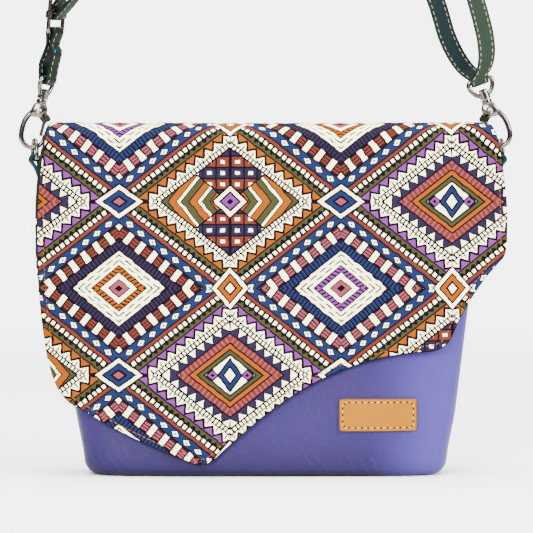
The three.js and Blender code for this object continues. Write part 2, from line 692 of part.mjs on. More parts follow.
// The eye that the strap goes through, with the boss that the hook's shank turns in
function bailGeometry() {
  const wide = BAIL_HALF_WIDTH;
  const top = BAIL_BAR_HEIGHT;
  const low = BOSS_HEIGHT / 2;
  const [turn, drop] = BAIL_CORNER;
  const half = [[0, low], ...BAIL_SHOULDER.map(([w, z]) => [w, low + z]), [1, top - drop], [turn, top]];
  const mirrored = half.slice(1).toReversed().map(([w, z]) => [-w, z]);
  const places = [...half, [0, top], ...mirrored].map(([w, z]) => point(w * wide, 0, z));
  const line = new THREE.CatmullRomCurve3(places, true).getSpacedPoints(BAIL_STEPS).slice(0, -1);
  const wire = sweep(line, () => ellipse(BAIL_WIRE, BAIL_WIRE), () => point(0, 1, 0), true);
  const boss = bar(BOSS_RADIUS, BOSS_HEIGHT, 'z', FITTING_SIDES).translate(0, 0, BOSS_HEIGHT / 2);
  const bore = bar(SHANK_RADIUS + GAP, 2 * BOSS_HEIGHT, 'z', FITTING_SIDES).translate(0, 0, BOSS_HEIGHT / 2);
  return combine(wire, [boss], [bore]);
}

function addHook(side) {
  const sign = SIGN[side];
  const hook = new THREE.Group();
  hook.position.set(sign * HOOK_X[side], HARDWARE_Y, HOOK_HEIGHT);
  hook.rotation.set(0, -sign * radians(HOOK_TILT[side]), 0);
  const facing = new THREE.Group();
  facing.rotation.z = side === 'left' ? Math.PI : 0;
  hook.add(facing);
  bag.add(hook);
  addPiece(`${side}_hook`, hookGeometry(), NICKEL, facing);
  addPiece(`${side}_gate`, gateGeometry(), NICKEL, facing);
  addPiece(`${side}_gate_rivet`, rivetGeometry(), STEEL, facing);
  addPiece(`${side}_gate_spring`, springGeometry(), STEEL, facing);
  const bail = addPiece(`${side}_bail`, bailGeometry(), NICKEL, facing);
  bail.rotation.z = radians(STRAP_TURN[side]);
  bag.updateMatrixWorld(true);
  const centre = bail.localToWorld(point(0, 0, BAIL_BAR_HEIGHT));
  const along = point(sign, 0, 0).transformDirection(bail.matrixWorld);
  return { centre, along, radius: BAIL_WIRE };
}

// Slider: a wire frame with a bar that slides along its two limbs on collars

function addSlider() {
  const slider = new THREE.Group();
  slider.position.set(SLIDER_IN - HOOK_X.left, HARDWARE_Y, HOOK_HEIGHT + SLIDER_RISE);
  slider.rotation.z = radians(STRAP_TURN.left);
  slider.rotateX(radians(SLIDER_LEAN));
  bag.add(slider);
  const [wide, long, corner] = [SLIDER_HALF_WIDTH, SLIDER_HALF_LENGTH, SLIDER_CORNER];
  const outline = new THREE.Path();
  outline.absarc(wide - corner, long - corner, corner, 0, Math.PI / 2, false);
  outline.absarc(-wide + corner, long - corner, corner, Math.PI / 2, Math.PI, false);
  outline.absarc(-wide + corner, -long + corner, corner, Math.PI, Math.PI * 1.5, false);
  outline.absarc(wide - corner, -long + corner, corner, Math.PI * 1.5, Math.PI * 2, false);
  outline.closePath();
  const line = outline.getPoints(CURVE_SEGMENTS).map((p) => point(p.x, 0, p.y));
  const distinct = line.filter((p, i) => p.distanceTo(line[(i + 1) % line.length]) > GAP);
  const round = () => ellipse(SLIDER_WIRE, SLIDER_WIRE);
  addPiece('slider_frame', sweep(distinct, round, () => point(0, 1, 0), true), NICKEL, slider);
  const places = [-wide, wide];
  const tubes = (radius, length) => (
    places.map((x) => bar(radius, length, 'z', FITTING_SIDES).translate(x, 0, 0))
  );
  const collars = tubes(COLLAR_RADIUS, COLLAR_HEIGHT);
  const bores = tubes(SLIDER_WIRE + GAP, 2 * COLLAR_HEIGHT);
  const rod = bar(SLIDER_WIRE, 2 * wide, 'x', FITTING_SIDES);
  addPiece('slider_bar', combine(rod, collars, bores), NICKEL, slider);
  bag.updateMatrixWorld(true);
  const along = point(1, 0, 0).transformDirection(slider.matrixWorld);
  const lower = slider.localToWorld(point(0, 0, -long));
  const middle = slider.localToWorld(point(0, 0, 0));
  return {
    lower: { centre: lower, along, radius: SLIDER_WIRE },
    middle: { centre: middle, along, radius: SLIDER_WIRE },
  };
}

// Straps

// Places on a strap's middle line where it turns round a bar, from one side to the other.
// up points away from the turn, and the strap comes in on the side of along x up.
function turnRound(held, up) {
  const radius = held.radius + GAP + STRAP_LEATHER / 2;
  const side = held.along.clone().cross(up).normalize();
  const away = side.clone().cross(held.along).normalize();
  return STRAP_TURNS.map((share) => {
    const turn = share * Math.PI;
    return held.centre.clone()
      .addScaledVector(side, radius * Math.cos(turn))
      .addScaledVector(away, radius * Math.sin(turn));
  });
}

function strapAlong(places, widthOf) {
  const curve = new THREE.CatmullRomCurve3(places, true, 'centripetal');
  const line = curve.getPoints(places.length * STRAP_STEPS).slice(0, -1);
  const section = rectangle(STRAP_WIDTH, STRAP_LEATHER);
  return sweep(line, () => section, (i) => widthOf(line[i]), true);
}

// A sewn loop from the left bail up to the slider's lower bar, pinched together half way
function addShortStrap(bail, lower) {
  const up = lower.centre.clone().sub(bail.centre).normalize();
  const pinch = STRAP_LEATHER / 2 + GAP;
  const middle = bail.centre.clone().lerp(lower.centre, 0.5);
  const side = bail.along.clone().cross(up).normalize();
  const places = [
    ...turnRound(bail, up),
    middle.clone().addScaledVector(side, -pinch),
    ...turnRound(lower, up.clone().negate()),
    middle.clone().addScaledVector(side, pinch),
  ];
  const length = lower.centre.distanceTo(bail.centre);
  const widthOf = (place) => {
    const share = THREE.MathUtils.clamp(place.clone().sub(bail.centre).dot(up) / length, 0, 1);
    return bail.along.clone().lerp(lower.along, share);
  };
  addPiece('short_strap', strapAlong(places, widthOf), GREEN);
}

// The doubled strap: from the slider's bar over the shoulder, round the right bail and back, held up as an
// arch
function addLongStrap(middle, bail) {
  const up = point(0, 0, 1);
  const lean = up.clone().applyAxisAngle(middle.along, radians(STRAP_LEAN));
  const side = middle.along.clone().cross(lean);
  const clear = middle.radius + GAP + STRAP_LEATHER / 2;
  const pastFrame = (reach) => middle.centre.clone()
    .addScaledVector(side, reach)
    .addScaledVector(lean, SLIDER_HALF_LENGTH + STRAP_LEATHER);
  const run = (hook, places) => places.map(([inward, back, rise]) => (
    point(SIGN[hook] * (HOOK_X[hook] - inward), HARDWARE_Y + back, HOOK_HEIGHT + rise)
  ));
  const arch = (places, top, drop) => places.map((x) => point(x, HARDWARE_Y, x === 0 ? top : top - drop));
  const innerTop = STRAP_TOP - STRAP_LEATHER - 4 * GAP;
  const places = [
    ...turnRound(bail, up),
    ...run('right', STRAP_INNER_START),
    ...arch(STRAP_INNER_ARCH, innerTop, STRAP_ARCH_DROP.inner),
    ...run('left', STRAP_INNER_END),
    pastFrame(clear + STRAP_LEATHER),
    ...turnRound(middle, lean),
    pastFrame(-clear),
    ...run('left', STRAP_OUTER_START),
    ...arch(STRAP_OUTER_ARCH, STRAP_TOP, STRAP_ARCH_DROP.outer),
    ...run('right', STRAP_OUTER_END),
  ];
  const [twistFrom, twistTo] = STRAP_TWIST;
  const widthOf = (place) => {
    const held = place.x < 0 ? middle : bail;
    const above = place.z - held.centre.z;
    return held.along.clone().lerp(point(0, 1, 0), THREE.MathUtils.smoothstep(above, twistFrom, twistTo));
  };
  addPiece('long_strap', strapAlong(places, widthOf), GREEN);
}

addBody();
addFlap();
addLabel();
addSnap();
['left', 'right'].forEach((side) => addTab(`${side}_ring_tab`, side, addRing(`${side}_ring`, side)));
const leftBail = addHook('left');
const rightBail = addHook('right');
const slider = addSlider();
addShortStrap(leftBail, slider.lower);
addLongStrap(slider.middle, rightBail);

export default bag;
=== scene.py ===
"""Looks of a flap crossbody bag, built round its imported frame.

Fields and arguments are millimetres and degrees. Meshes are metres in the frame's axes: +Z up, the front
towards -Y and the base on Z = 0.
"""
import json
import logging
import math
from dataclasses import dataclass, field
from enum import Enum
from typing import Any, Callable, Sequence, Union

import bpy
import numpy as np
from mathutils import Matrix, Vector
from mathutils.bvhtree import BVHTree

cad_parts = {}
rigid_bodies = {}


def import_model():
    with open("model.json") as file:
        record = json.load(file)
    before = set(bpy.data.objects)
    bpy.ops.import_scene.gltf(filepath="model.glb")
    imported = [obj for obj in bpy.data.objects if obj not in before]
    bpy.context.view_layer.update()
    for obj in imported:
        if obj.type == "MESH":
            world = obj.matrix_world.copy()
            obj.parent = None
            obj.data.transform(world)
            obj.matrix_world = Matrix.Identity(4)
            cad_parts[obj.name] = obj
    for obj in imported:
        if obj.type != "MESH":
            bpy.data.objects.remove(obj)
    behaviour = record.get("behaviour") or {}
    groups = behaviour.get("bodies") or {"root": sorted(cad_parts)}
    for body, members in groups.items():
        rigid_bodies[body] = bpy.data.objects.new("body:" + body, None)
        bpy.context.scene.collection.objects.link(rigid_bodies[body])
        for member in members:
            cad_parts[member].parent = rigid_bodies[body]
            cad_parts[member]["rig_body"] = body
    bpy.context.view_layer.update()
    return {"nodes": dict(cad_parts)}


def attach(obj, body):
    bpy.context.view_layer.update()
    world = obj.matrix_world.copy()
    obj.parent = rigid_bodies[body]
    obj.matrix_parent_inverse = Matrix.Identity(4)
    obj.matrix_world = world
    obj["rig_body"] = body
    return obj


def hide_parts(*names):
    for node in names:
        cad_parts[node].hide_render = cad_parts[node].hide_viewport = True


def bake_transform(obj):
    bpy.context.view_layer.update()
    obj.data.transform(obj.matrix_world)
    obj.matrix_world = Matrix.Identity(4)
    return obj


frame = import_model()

MM = 0.001
FILM_GAIN = 0.227
FILM_SLOPE = 1.235
FILM_FADE = 1.2
STUDIO_LIGHT = 5.5
BRIGHTEST = 250
LEAST_SHARE = 0.2
PALEST_PAINT = 0.95
MERGE = 1e-6
SLIVER = 1e-7
LOG = logging.getLogger("bag")

Array = np.ndarray
Piece = bpy.types.Object
Colour = tuple[float, float, float]


class Side(Enum):
    """The two sides of the bag as seen from the front."""

    LEFT = -1
    RIGHT = 1

    @property
    def label(self) -> str:
        """The side's word in the frame's node names."""
        return self.name.lower()


def tone(red: int, green: int, blue: int) -> Colour:
    """Finds the paint that shows as a screen colour in the studio's light.

    Args:
        red, green, blue: Values from 0 to 255.

    Returns:
        The colour that a shader takes.
    """
    shares = [min(value, BRIGHTEST) / 255 for value in (red, green, blue)]
    light = [FILM_GAIN * (s / (1 - s)) ** FILM_SLOPE / STUDIO_LIGHT for s in shares]
    grey = sum(light) / 3
    return tuple(min(max(grey + (c - grey) * FILM_FADE, LEAST_SHARE * c), PALEST_PAINT) for c in light)


def lerp(a: Any, b: Any, share: Any) -> Any:
    """Gives the value a share of the way from a to b."""
    return a + (b - a) * share


def ease(low: float, high: float, value: Any) -> Any:
    """Gives a smooth step from 0 at low to 1 at high."""
    share = np.clip((np.asarray(value, float) - low) / (high - low), 0, 1)
    return share * share * (3 - 2 * share)


def unit(vectors: Array) -> Array:
    """Scales vectors to length 1."""
    return vectors / np.linalg.norm(vectors, axis=-1, keepdims=True)


class Bench:
    """Adds primitives, moves their points and applies modifiers."""

    @staticmethod
    def only(piece: Piece) -> None:
        """Makes a piece the only selected one.

        Args:
            piece: The piece.
        """
        bpy.ops.object.select_all(action="DESELECT")
        piece.select_set(True)
        bpy.context.view_layer.objects.active = piece

    @staticmethod
    def points(piece: Piece) -> Array:
        """Reads a piece's points, in metres.

        Args:
            piece: The piece.

        Returns:
            An array with a row for each point.
        """
        places = np.zeros(len(piece.data.vertices) * 3)
        piece.data.vertices.foreach_get("co", places)
        return places.reshape(-1, 3)

    @staticmethod
    def place(piece: Piece, places: Array) -> None:
        """Moves a piece's points to places in millimetres."""
        piece.data.vertices.foreach_set("co", (places * MM).astype(np.float32).ravel())
        piece.data.update()

    @classmethod
    def grid(cls, name: str, columns: int, rows: int) -> tuple[Piece, Array, Array]:
        """Adds a flat grid to be shaped.

        Args:
            name: The piece's name.
            columns: Faces across.
            rows: Faces along.

        Returns:
            The piece, and each point's column and row.
        """
        bpy.ops.object.select_all(action="DESELECT")
        bpy.ops.mesh.primitive_grid_add(x_subdivisions=columns, y_subdivisions=rows, size=1)
        piece = bpy.context.object
        piece.name = piece.data.name = name
        shares = cls.points(piece)[:, :2] + 0.5
        column, row = np.rint(shares * (columns, rows)).astype(int).T
        return piece, column, row

    @classmethod
    def edit(cls, piece: Piece, *steps: Callable[[], Any]) -> None:
        """Runs edit-mode steps on all of a piece's mesh.

        Args:
            piece: The piece.
            *steps: Calls to run in order.
        """
        cls.only(piece)
        bpy.ops.object.mode_set(mode="EDIT")
        bpy.ops.mesh.select_all(action="SELECT")
        for step in steps:
            step()
        bpy.ops.object.mode_set(mode="OBJECT")

    @classmethod
    def close(cls, piece: Piece) -> None:
        """Merges points that meet and turns the faces out.

        Args:
            piece: The piece.
        """
        cls.edit(
            piece,
            lambda: bpy.ops.mesh.remove_doubles(threshold=MERGE),
            lambda: bpy.ops.mesh.dissolve_degenerate(threshold=SLIVER),
            lambda: bpy.ops.mesh.normals_make_consistent(inside=False),
        )

    @classmethod
    def modify(cls, piece: Piece, kind: str, **settings: Any) -> None:
        """Adds a modifier and applies it.

        Args:
            piece: The piece.
            kind: The modifier's type.
            **settings: Its settings.
        """
        cls.only(piece)
        modifier = piece.modifiers.new(kind.title(), kind)
        for key, value in settings.items():
            setattr(modifier, key, value)
        bpy.ops.object.modifier_apply(modifier=modifier.name)

    @classmethod
    def soften(cls, piece: Piece, angle: float = 40) -> None:
        """Shades a piece smooth, apart from edges sharper than an angle."""
        cls.only(piece)
        bpy.ops.object.shade_smooth_by_angle(angle=math.radians(angle))

    @staticmethod
    def mark(piece: Piece, name: str, values: Array) -> None:
        """Keeps a number or a vector for each point, for a material to read.

        Args:
            piece: The piece.
            name: The attribute's name.
            values: One value for each point.
        """
        kind, key = ("FLOAT", "value") if values.ndim == 1 else ("FLOAT_VECTOR", "vector")
        attribute = piece.data.attributes.new(name, kind, "POINT")
        attribute.data.foreach_set(key, values.astype(np.float32).ravel())

    @staticmethod
    def dress(piece: Piece, material: bpy.types.Material, slot: str) -> None:
        """Gives a piece its material.

        Args:
            piece: The piece.
            material: The finish.
            slot: Not used.
        """
        piece.data.materials.clear()
        piece.data.materials.append(material)

    @classmethod
    def swept(
        cls, name: str, centres: Array, widths: Array, section: Array, endless: bool, outward: float = 1
    ) -> Piece:
        """Runs a closed section along a line.

        Args:
            name: The piece's name.
            centres: Places along the line.
            widths: The direction of the section's first axis at each place.
            section: The section's points.
            endless: Whether the line runs back into its start.
            outward: The sign of the section's second axis on the outer face.

        Returns:
            The piece.
        """
        _, across, normal = Line(centres, endless).axes(widths)
        stations = np.arange(len(centres))
        order = np.append(stations, 0) if endless else np.r_[0, stations, stations[-1]]
        scale = np.ones(len(order))
        if not endless:
            scale[[0, -1]] = 0
        piece, column, row = cls.grid(name, len(section), len(order) - 1)
        spot = section[column % len(section)]
        station = order[row]
        shift = across[station] * spot[:, :1] + normal[station] * spot[:, 1:]
        cls.place(piece, centres[station] + shift * scale[row][:, None])
        cls.mark(piece, "across", spot[:, 0])
        cls.mark(piece, "outer", spot[:, 1] * outward)
        cls.close(piece)
        return piece


class Line:
    """A line of places with a direction along it."""

    def __init__(self, places: Array, endless: bool = False) -> None:
        """Keeps the places and works out the directions.

        Args:
            places: The places in order.
            endless: Whether the line runs back into its start.
        """
        self.places = np.asarray(places, float)
        self.endless = endless
        before, after = np.roll(self.places, 1, 0), np.roll(self.places, -1, 0)
        if not endless:
            before[0], after[-1] = self.places[0], self.places[-1]
        self.along = unit(after - before)

    def axes(self, widths: Array) -> tuple[Array, Array, Array]:
        """Gives the directions along, across and out of a ribbon, from its directions across."""
        across = unit(widths)
        return self.along, across, unit(np.cross(self.along, across))

    def even(self, pitch: float) -> tuple[Array, Array]:
        """Finds places a pitch apart along the line.

        Args:
            pitch: About the distance from one place to the next.

        Returns:
            The places as fractions of the line's points, and the places themselves.
        """
        ring = np.vstack([self.places, self.places[:1]]) if self.endless else self.places
        steps = np.linalg.norm(np.diff(ring, axis=0), axis=1)
        length = np.r_[0, np.cumsum(steps)]
        count = max(int(round(length[-1] / pitch)), 1)
        wanted = (np.arange(count) + 0.5) * length[-1] / count
        index = np.interp(wanted, length, np.arange(len(ring)))
        spots = np.stack([np.interp(wanted, length, ring[:, k]) for k in range(3)], 1)
        return index, spots


def spline(places: Sequence[Any], steps: int) -> Array:
    """Runs a smooth endless curve through places.

    Args:
        places: Places that the curve goes through.
        steps: Points from each place to the next.

    Returns:
        The curve's points.
    """
    knots = np.asarray(places, float)
    p0, p1, p2, p3 = (np.roll(knots, shift, 0) for shift in (1, 0, -1, -2))
    pairs = ((p0, p1), (p1, p2), (p2, p3))
    d0, d1, d2 = (np.sqrt(np.linalg.norm(b - a, axis=1, keepdims=True)) for a, b in pairs)
    t1 = ((p1 - p0) / d0 - (p2 - p0) / (d0 + d1) + (p2 - p1) / d1) * d1
    t2 = ((p2 - p1) / d1 - (p3 - p1) / (d1 + d2) + (p3 - p2) / d2) * d1
    c2 = -3 * p1 + 3 * p2 - 2 * t1 - t2
    c3 = 2 * p1 - 2 * p2 + t1 + t2
    share = np.linspace(0, 1, steps, endpoint=False)[None, :, None]
    curve = p1[:, None] + t1[:, None] * share + c2[:, None] * share**2 + c3[:, None] * share**3
    return curve.reshape(-1, 3)


def strip_section(width: float, thickness: float, count: int) -> Array:
    """Gives the section of a flat strip with rounded edges.

    Args:
        width: The strip's width.
        thickness: Its thickness.
        count: Points round the section.

    Returns:
        Points across and out of the strip.
    """
    turn = np.linspace(0, 2 * math.pi, count, endpoint=False) + math.pi / count
    waves = ((width, np.cos(turn), 0.3), (thickness, np.sin(turn), 0.6))
    return np.stack([size / 2 * np.sign(wave) * np.abs(wave) ** power for size, wave, power in waves], 1)


Number = Union["Field", float]


class Field:
    """A number that varies over a surface, held as a shader socket."""

    def __init__(self, tree: bpy.types.NodeTree, socket: bpy.types.NodeSocket) -> None:
        """Keeps the socket that the number comes out of."""
        self.tree = tree
        self.socket = socket

    def apply(self, operation: str, *others: Number) -> "Field":
        """Makes a field by a math node on this field and others.

        Args:
            operation: The node's operation.
            *others: Fields or numbers for its other inputs.

        Returns:
            The new field.
        """
        node = self.tree.nodes.new("ShaderNodeMath")
        node.operation = operation
        for slot, value in zip(node.inputs, (self, *others)):
            if isinstance(value, Field):
                self.tree.links.new(value.socket, slot)
            else:
                slot.default_value = value
        return Field(self.tree, node.outputs[0])

    def __add__(self, other: Number) -> "Field":
        """Adds."""
        return self.apply("ADD", other)

    def __sub__(self, other: Number) -> "Field":
        """Subtracts."""
        return self.apply("SUBTRACT", other)

    def __mul__(self, other: Number) -> "Field":
        """Multiplies."""
        return self.apply("MULTIPLY", other)

    def __abs__(self) -> "Field":
        """Drops the sign."""
        return self.apply("ABSOLUTE")

    def __lt__(self, other: Number) -> "Field":
        """Is 1 where this is below the other."""
        return self.apply("LESS_THAN", other)

    def __gt__(self, other: Number) -> "Field":
        """Is 1 where this is above the other."""
        return self.apply("GREATER_THAN", other)

    def __and__(self, other: "Field") -> "Field":
        """Is 1 where both are."""
        return self.apply("MULTIPLY", other)

    def __or__(self, other: "Field") -> "Field":
        """Is 1 where either is."""
        return self.apply("MAXIMUM", other)

    def __invert__(self) -> "Field":
        """Is 1 where this is 0."""
        return self.apply("MULTIPLY_ADD", -1.0, 1.0)

    def fold(self, half: float) -> "Field":
        """Runs up and down between 0 and half."""
        return self.apply("PINGPONG", half)

    def wrap(self, period: float) -> "Field":
        """Runs from 0 to a period, over and over."""
        return self.apply("FLOORED_MODULO", period)

    def between(self, low: float, high: float) -> "Field":
        """Is 1 between two values."""
        middle, half = (low + high) / 2, (high - low) / 2
        return self.apply("COMPARE", middle, half)

    def scaled(self, low: float, high: float) -> "Field":
        """Maps 0 to low and 1 to high."""
        return self.apply("MULTIPLY_ADD", high - low, low)


class Graph:
    """A material's nodes, with short calls for those that the finishes use."""

    def __init__(self, name: str) -> None:
        """Starts a material with one principled shader.

        Args:
            name: The material's name.
        """
        self.material = bpy.data.materials.new(name)
        self.material.use_nodes = True
        self.tree = self.material.node_tree
        self.shader = self.tree.nodes["Principled BSDF"]

    def node(self, kind: str, **inputs: Any) -> bpy.types.Node:
        """Adds a node and sets or links its inputs.

        Args:
            kind: The node's type, after its prefix.
            **inputs: Values or sockets, by the inputs' names.

        Returns:
            The node.
        """
        node = self.tree.nodes.new(f"ShaderNode{kind}")
        for key, value in inputs.items():
            self.feed(value, node.inputs[key.replace("_", " ")])
        return node

    def feed(self, value: Any, socket: bpy.types.NodeSocket) -> None:
        """Links a field or socket to an input, or sets it.

        Args:
            value: A field, a socket, a colour or a number.
            socket: The input.
        """
        if isinstance(value, Field):
            self.tree.links.new(value.socket, socket)
        elif isinstance(value, bpy.types.NodeSocket):
            self.tree.links.new(value, socket)
        elif socket.type == "RGBA":
            socket.default_value = (*value, 1)
        else:
            socket.default_value = value

    def surface(self, **inputs: Any) -> bpy.types.Material:
        """Sets the shader's inputs and returns the material.

        Args:
            **inputs: Values or sockets, by the inputs' names.

        Returns:
            The material.
        """
        for key, value in inputs.items():
            self.feed(value, self.shader.inputs[key.replace("_", " ")])
        return self.material

    def place(
        self, stretch: Sequence[float] = (1, 1, 1), turn: Sequence[float] = (0, 0, 0)
    ) -> bpy.types.NodeSocket:
        """Gives the place on the object in millimetres, turned and stretched.

        Args:
            stretch: The scale along each axis.
            turn: The turn round each axis.

        Returns:
            The place.
        """
        spot = self.tree.nodes.new("ShaderNodeTexCoord").outputs["Object"]
        angles = [math.radians(value) for value in turn]
        scale = [value / MM for value in stretch]
        return self.node("Mapping", Vector=spot, Rotation=angles, Scale=scale).outputs[0]

    def axis(self, index: int) -> Field:
        """Gives one coordinate of the place on the object."""
        return self.number(self.node("SeparateXYZ", Vector=self.place()).outputs[index])

    def ramp(self, value: Field, start: float, end: float, high: float = 1.0, smooth: bool = False) -> Field:
        """Runs from 0 up to a height between two values of a field.

        Args:
            value: The field.
            start: Its value where the ramp is 0.
            end: Its value where the ramp is at its height.
            high: The height.
            smooth: Whether the ramp eases in and out.

        Returns:
            The ramp.
        """
        node = self.node("MapRange", Value=value, From_Min=start, From_Max=end, To_Max=high)
        node.interpolation_type = "SMOOTHSTEP" if smooth else "LINEAR"
        return self.number(node.outputs[0])

    def attribute(self, name: str, output: str = "Fac") -> bpy.types.NodeSocket:
        """Gives an attribute of the mesh.

        Args:
            name: The attribute's name.
            output: Which of the node's outputs.

        Returns:
            That output.
        """
        node = self.tree.nodes.new("ShaderNodeAttribute")
        node.attribute_name = name
        return node.outputs[output]

    def number(self, socket: bpy.types.NodeSocket) -> Field:
        """Wraps a socket as a field."""
        return Field(self.tree, socket)

    def noise(self, spot: bpy.types.NodeSocket, size: float, detail: float = 3) -> Field:
        """Gives smooth noise with patches of about a size."""
        return self.number(self.node("TexNoise", Vector=spot, Scale=1 / size, Detail=detail).outputs[0])

    def cells(self, spot: bpy.types.NodeSocket, size: float) -> Field:
        """Gives the distance within cells of about a size."""
        return self.number(self.node("TexVoronoi", Vector=spot, Scale=1 / size).outputs["Distance"])

    def mix(self, share: Field, under: Any, over: Any) -> bpy.types.NodeSocket:
        """Lays one colour over another by a share.

        Args:
            share: How much of the upper colour shows.
            under: The lower colour.
            over: The upper colour.

        Returns:
            The mixed colour.
        """
        node = self.tree.nodes.new("ShaderNodeMix")
        node.data_type = "RGBA"
        self.feed(share, node.inputs[0])
        self.feed(under, node.inputs[6])
        self.feed(over, node.inputs[7])
        return node.outputs[2]

    def bump(self, height: Field, depth: float, **under: bpy.types.NodeSocket) -> bpy.types.NodeSocket:
        """Turns a height into a normal, with a depth in millimetres, over another Normal if one is given."""
        return self.node("Bump", Height=height, Strength=1.0, Distance=depth * MM, **under).outputs[0]


@dataclass(frozen=True)
class Leather:
    """Grained leather, with soft mottling and paler worn tops of the grain."""

    MOTTLE = 38.0
    SPECKLE = 1.6
    SHEEN = 9.0
    SHEEN_SPREAD = 0.1

    name: str
    base: Colour
    pale: Colour
    dark: Colour
    roughness: float = 0.5
    grain: float = 0.9
    grain_depth: float = 0.05
    shine: float = 0.15

    def colour(self, graph: Graph) -> tuple[Any, Field]:
        """Builds the mottled colour.

        Args:
            graph: The material to build in.

        Returns:
            The colour and the grain's height.
        """
        spot = graph.place()
        mottle = graph.noise(spot, self.MOTTLE, 4)
        fine = graph.noise(spot, self.SPECKLE, 2)
        pebble = graph.cells(spot, self.grain)
        shade = graph.mix(mottle.apply("SMOOTH_MIN", 0.9, 0.1), self.dark, self.base)
        shade = graph.mix(fine.scaled(-0.25, 0.35) * mottle, shade, self.pale)
        return shade, pebble * 0.6 + fine * 0.4

    def shaded(self, graph: Graph, shade: Any, height: Field) -> Any:
        """Gives the colour as it is. Other leathers shade it here."""
        return shade

    def normal(self, graph: Graph, height: Field) -> bpy.types.NodeSocket:
        """Raises the grain."""
        return graph.bump(height, self.grain_depth)

    def gloss(self, graph: Graph) -> Field:
        """Gives a roughness that varies softly."""
        patches = graph.noise(graph.place(), self.SHEEN, 3)
        return patches.scaled(self.roughness - self.SHEEN_SPREAD, self.roughness + self.SHEEN_SPREAD)

    def material(self) -> bpy.types.Material:
        """Builds the material.

        Returns:
            The material.
        """
        graph = Graph(self.name)
        shade, height = self.colour(graph)
        return graph.surface(
            Base_Color=self.shaded(graph, shade, height), Roughness=self.gloss(graph),
            Normal=self.normal(graph, height), Specular_IOR_Level=self.shine,
        )


@dataclass(frozen=True)
class BodyLeather(Leather):
    """The body's leather: painted shade at the base, painted highlight at the right and along creases low down.
    """

    CREASE_SLANT = (0.8, 0.55)
    CREASE_WANDER = (20.0, 16.0)
    CREASE_PITCH = 5.6
    CREASE_WIDTH = 0.5
    CREASE_PATCH = 24.0
    FOLD_SIZE = 7.0

    # Painted shade towards the base, and a painted contact shadow at the foot.
    shadow: Colour = tone(58, 46, 98)
    shadow_share: float = 0.65
    shadow_rise: tuple[float, float] = (30.0, 2.0)
    contact_shadow: Colour = tone(26, 22, 42)
    contact_shadow_share: float = 0.85
    contact_shadow_rise: tuple[float, float] = (5.0, 0.5)
    # Painted highlight, paler towards the right, where the light falls.
    right_highlight_share: float = 0.85
    right_highlight_reach: tuple[float, float] = (62.0, 112.0)
    # Pale crease lines, partly painted highlight.
    crease_highlight_share: float = 0.22
    crease_rise: tuple[float, float] = (40.0, 16.0)
    crease_depth: float = 0.9

    def creases(self, graph: Graph) -> Field:
        """Gives the share of the pale colour along slanting creases: leather paled where it bends, and painted
        highlight.

        Args:
            graph: The material to build in.

        Returns:
            The share.
        """
        x, z = graph.axis(0), graph.axis(2)
        size, reach = self.CREASE_WANDER
        slant = x * self.CREASE_SLANT[0] + z * self.CREASE_SLANT[1]
        across = slant + graph.noise(graph.place(), size, 4) * reach
        off = abs(across.wrap(self.CREASE_PITCH) - self.CREASE_PITCH / 2)
        thin = graph.ramp(off, self.CREASE_WIDTH, 0.0, self.crease_highlight_share)
        patch = graph.ramp(graph.noise(graph.place(), self.CREASE_PATCH, 2), 0.5, 0.64)
        return thin * graph.ramp(z, *self.crease_rise) * patch

    def shaded(self, graph: Graph, shade: Any, height: Field) -> Any:
        """Paints shade at the base, a painted highlight at the right, and the pale creases.

        Args:
            graph: The material to build in.
            shade: The mottled colour.
            height: The grain's height.

        Returns:
            The colour.
        """
        z = graph.axis(2)
        # Painted shade, darker towards the base.
        near = graph.ramp(z, *self.shadow_rise, self.shadow_share, True)
        shade = graph.mix(near, shade, self.shadow)
        # Painted contact shadow where the bag meets the floor.
        under = graph.ramp(z, *self.contact_shadow_rise, self.contact_shadow_share)
        shade = graph.mix(under, shade, self.contact_shadow)
        # Painted highlight, paler towards the right.
        right = graph.ramp(graph.axis(0), *self.right_highlight_reach, self.right_highlight_share, True)
        shade = graph.mix(right, shade, self.pale)
        # Pale crease lines: leather paled where it bends, and painted highlight.
        return graph.mix(self.creases(graph), shade, self.pale)

    def normal(self, graph: Graph, height: Field) -> bpy.types.NodeSocket:
        """Raises the grain and presses soft folds into it.

        Args:
            graph: The material to build in.
            height: The grain's height.

        Returns:
            The normal.
        """
        folds = graph.noise(graph.place((1, 1, 0.3), (0, 35, 0)), self.FOLD_SIZE, 3)
        crease = abs(folds - 0.5).apply("SMOOTH_MIN", 0.12, 0.1)
        return graph.bump(crease, self.crease_depth, Normal=super().normal(graph, height))


@dataclass(frozen=True)
class LabelLeather(Leather):
    """The label's leather, with painted shade along its rim."""

    RIM_SHARE = 0.7

    shadow: Colour = tone(140, 92, 44)
    middle: tuple[float, float] = (0, 0)
    half: tuple[float, float] = (1, 1)

    def shaded(self, graph: Graph, shade: Any, height: Field) -> Any:
        """Paints shade along the rim.

        Args:
            graph: The material to build in.
            shade: The mottled colour.
            height: The grain's height.

        Returns:
            The colour.
        """
        wide, tall = (
            abs(graph.axis(k) - centre) > reach for k, centre, reach in zip((0, 2), self.middle, self.half)
        )
        # Painted shade along the rim.
        return graph.mix((wide | tall) * self.RIM_SHARE, shade, self.shadow)


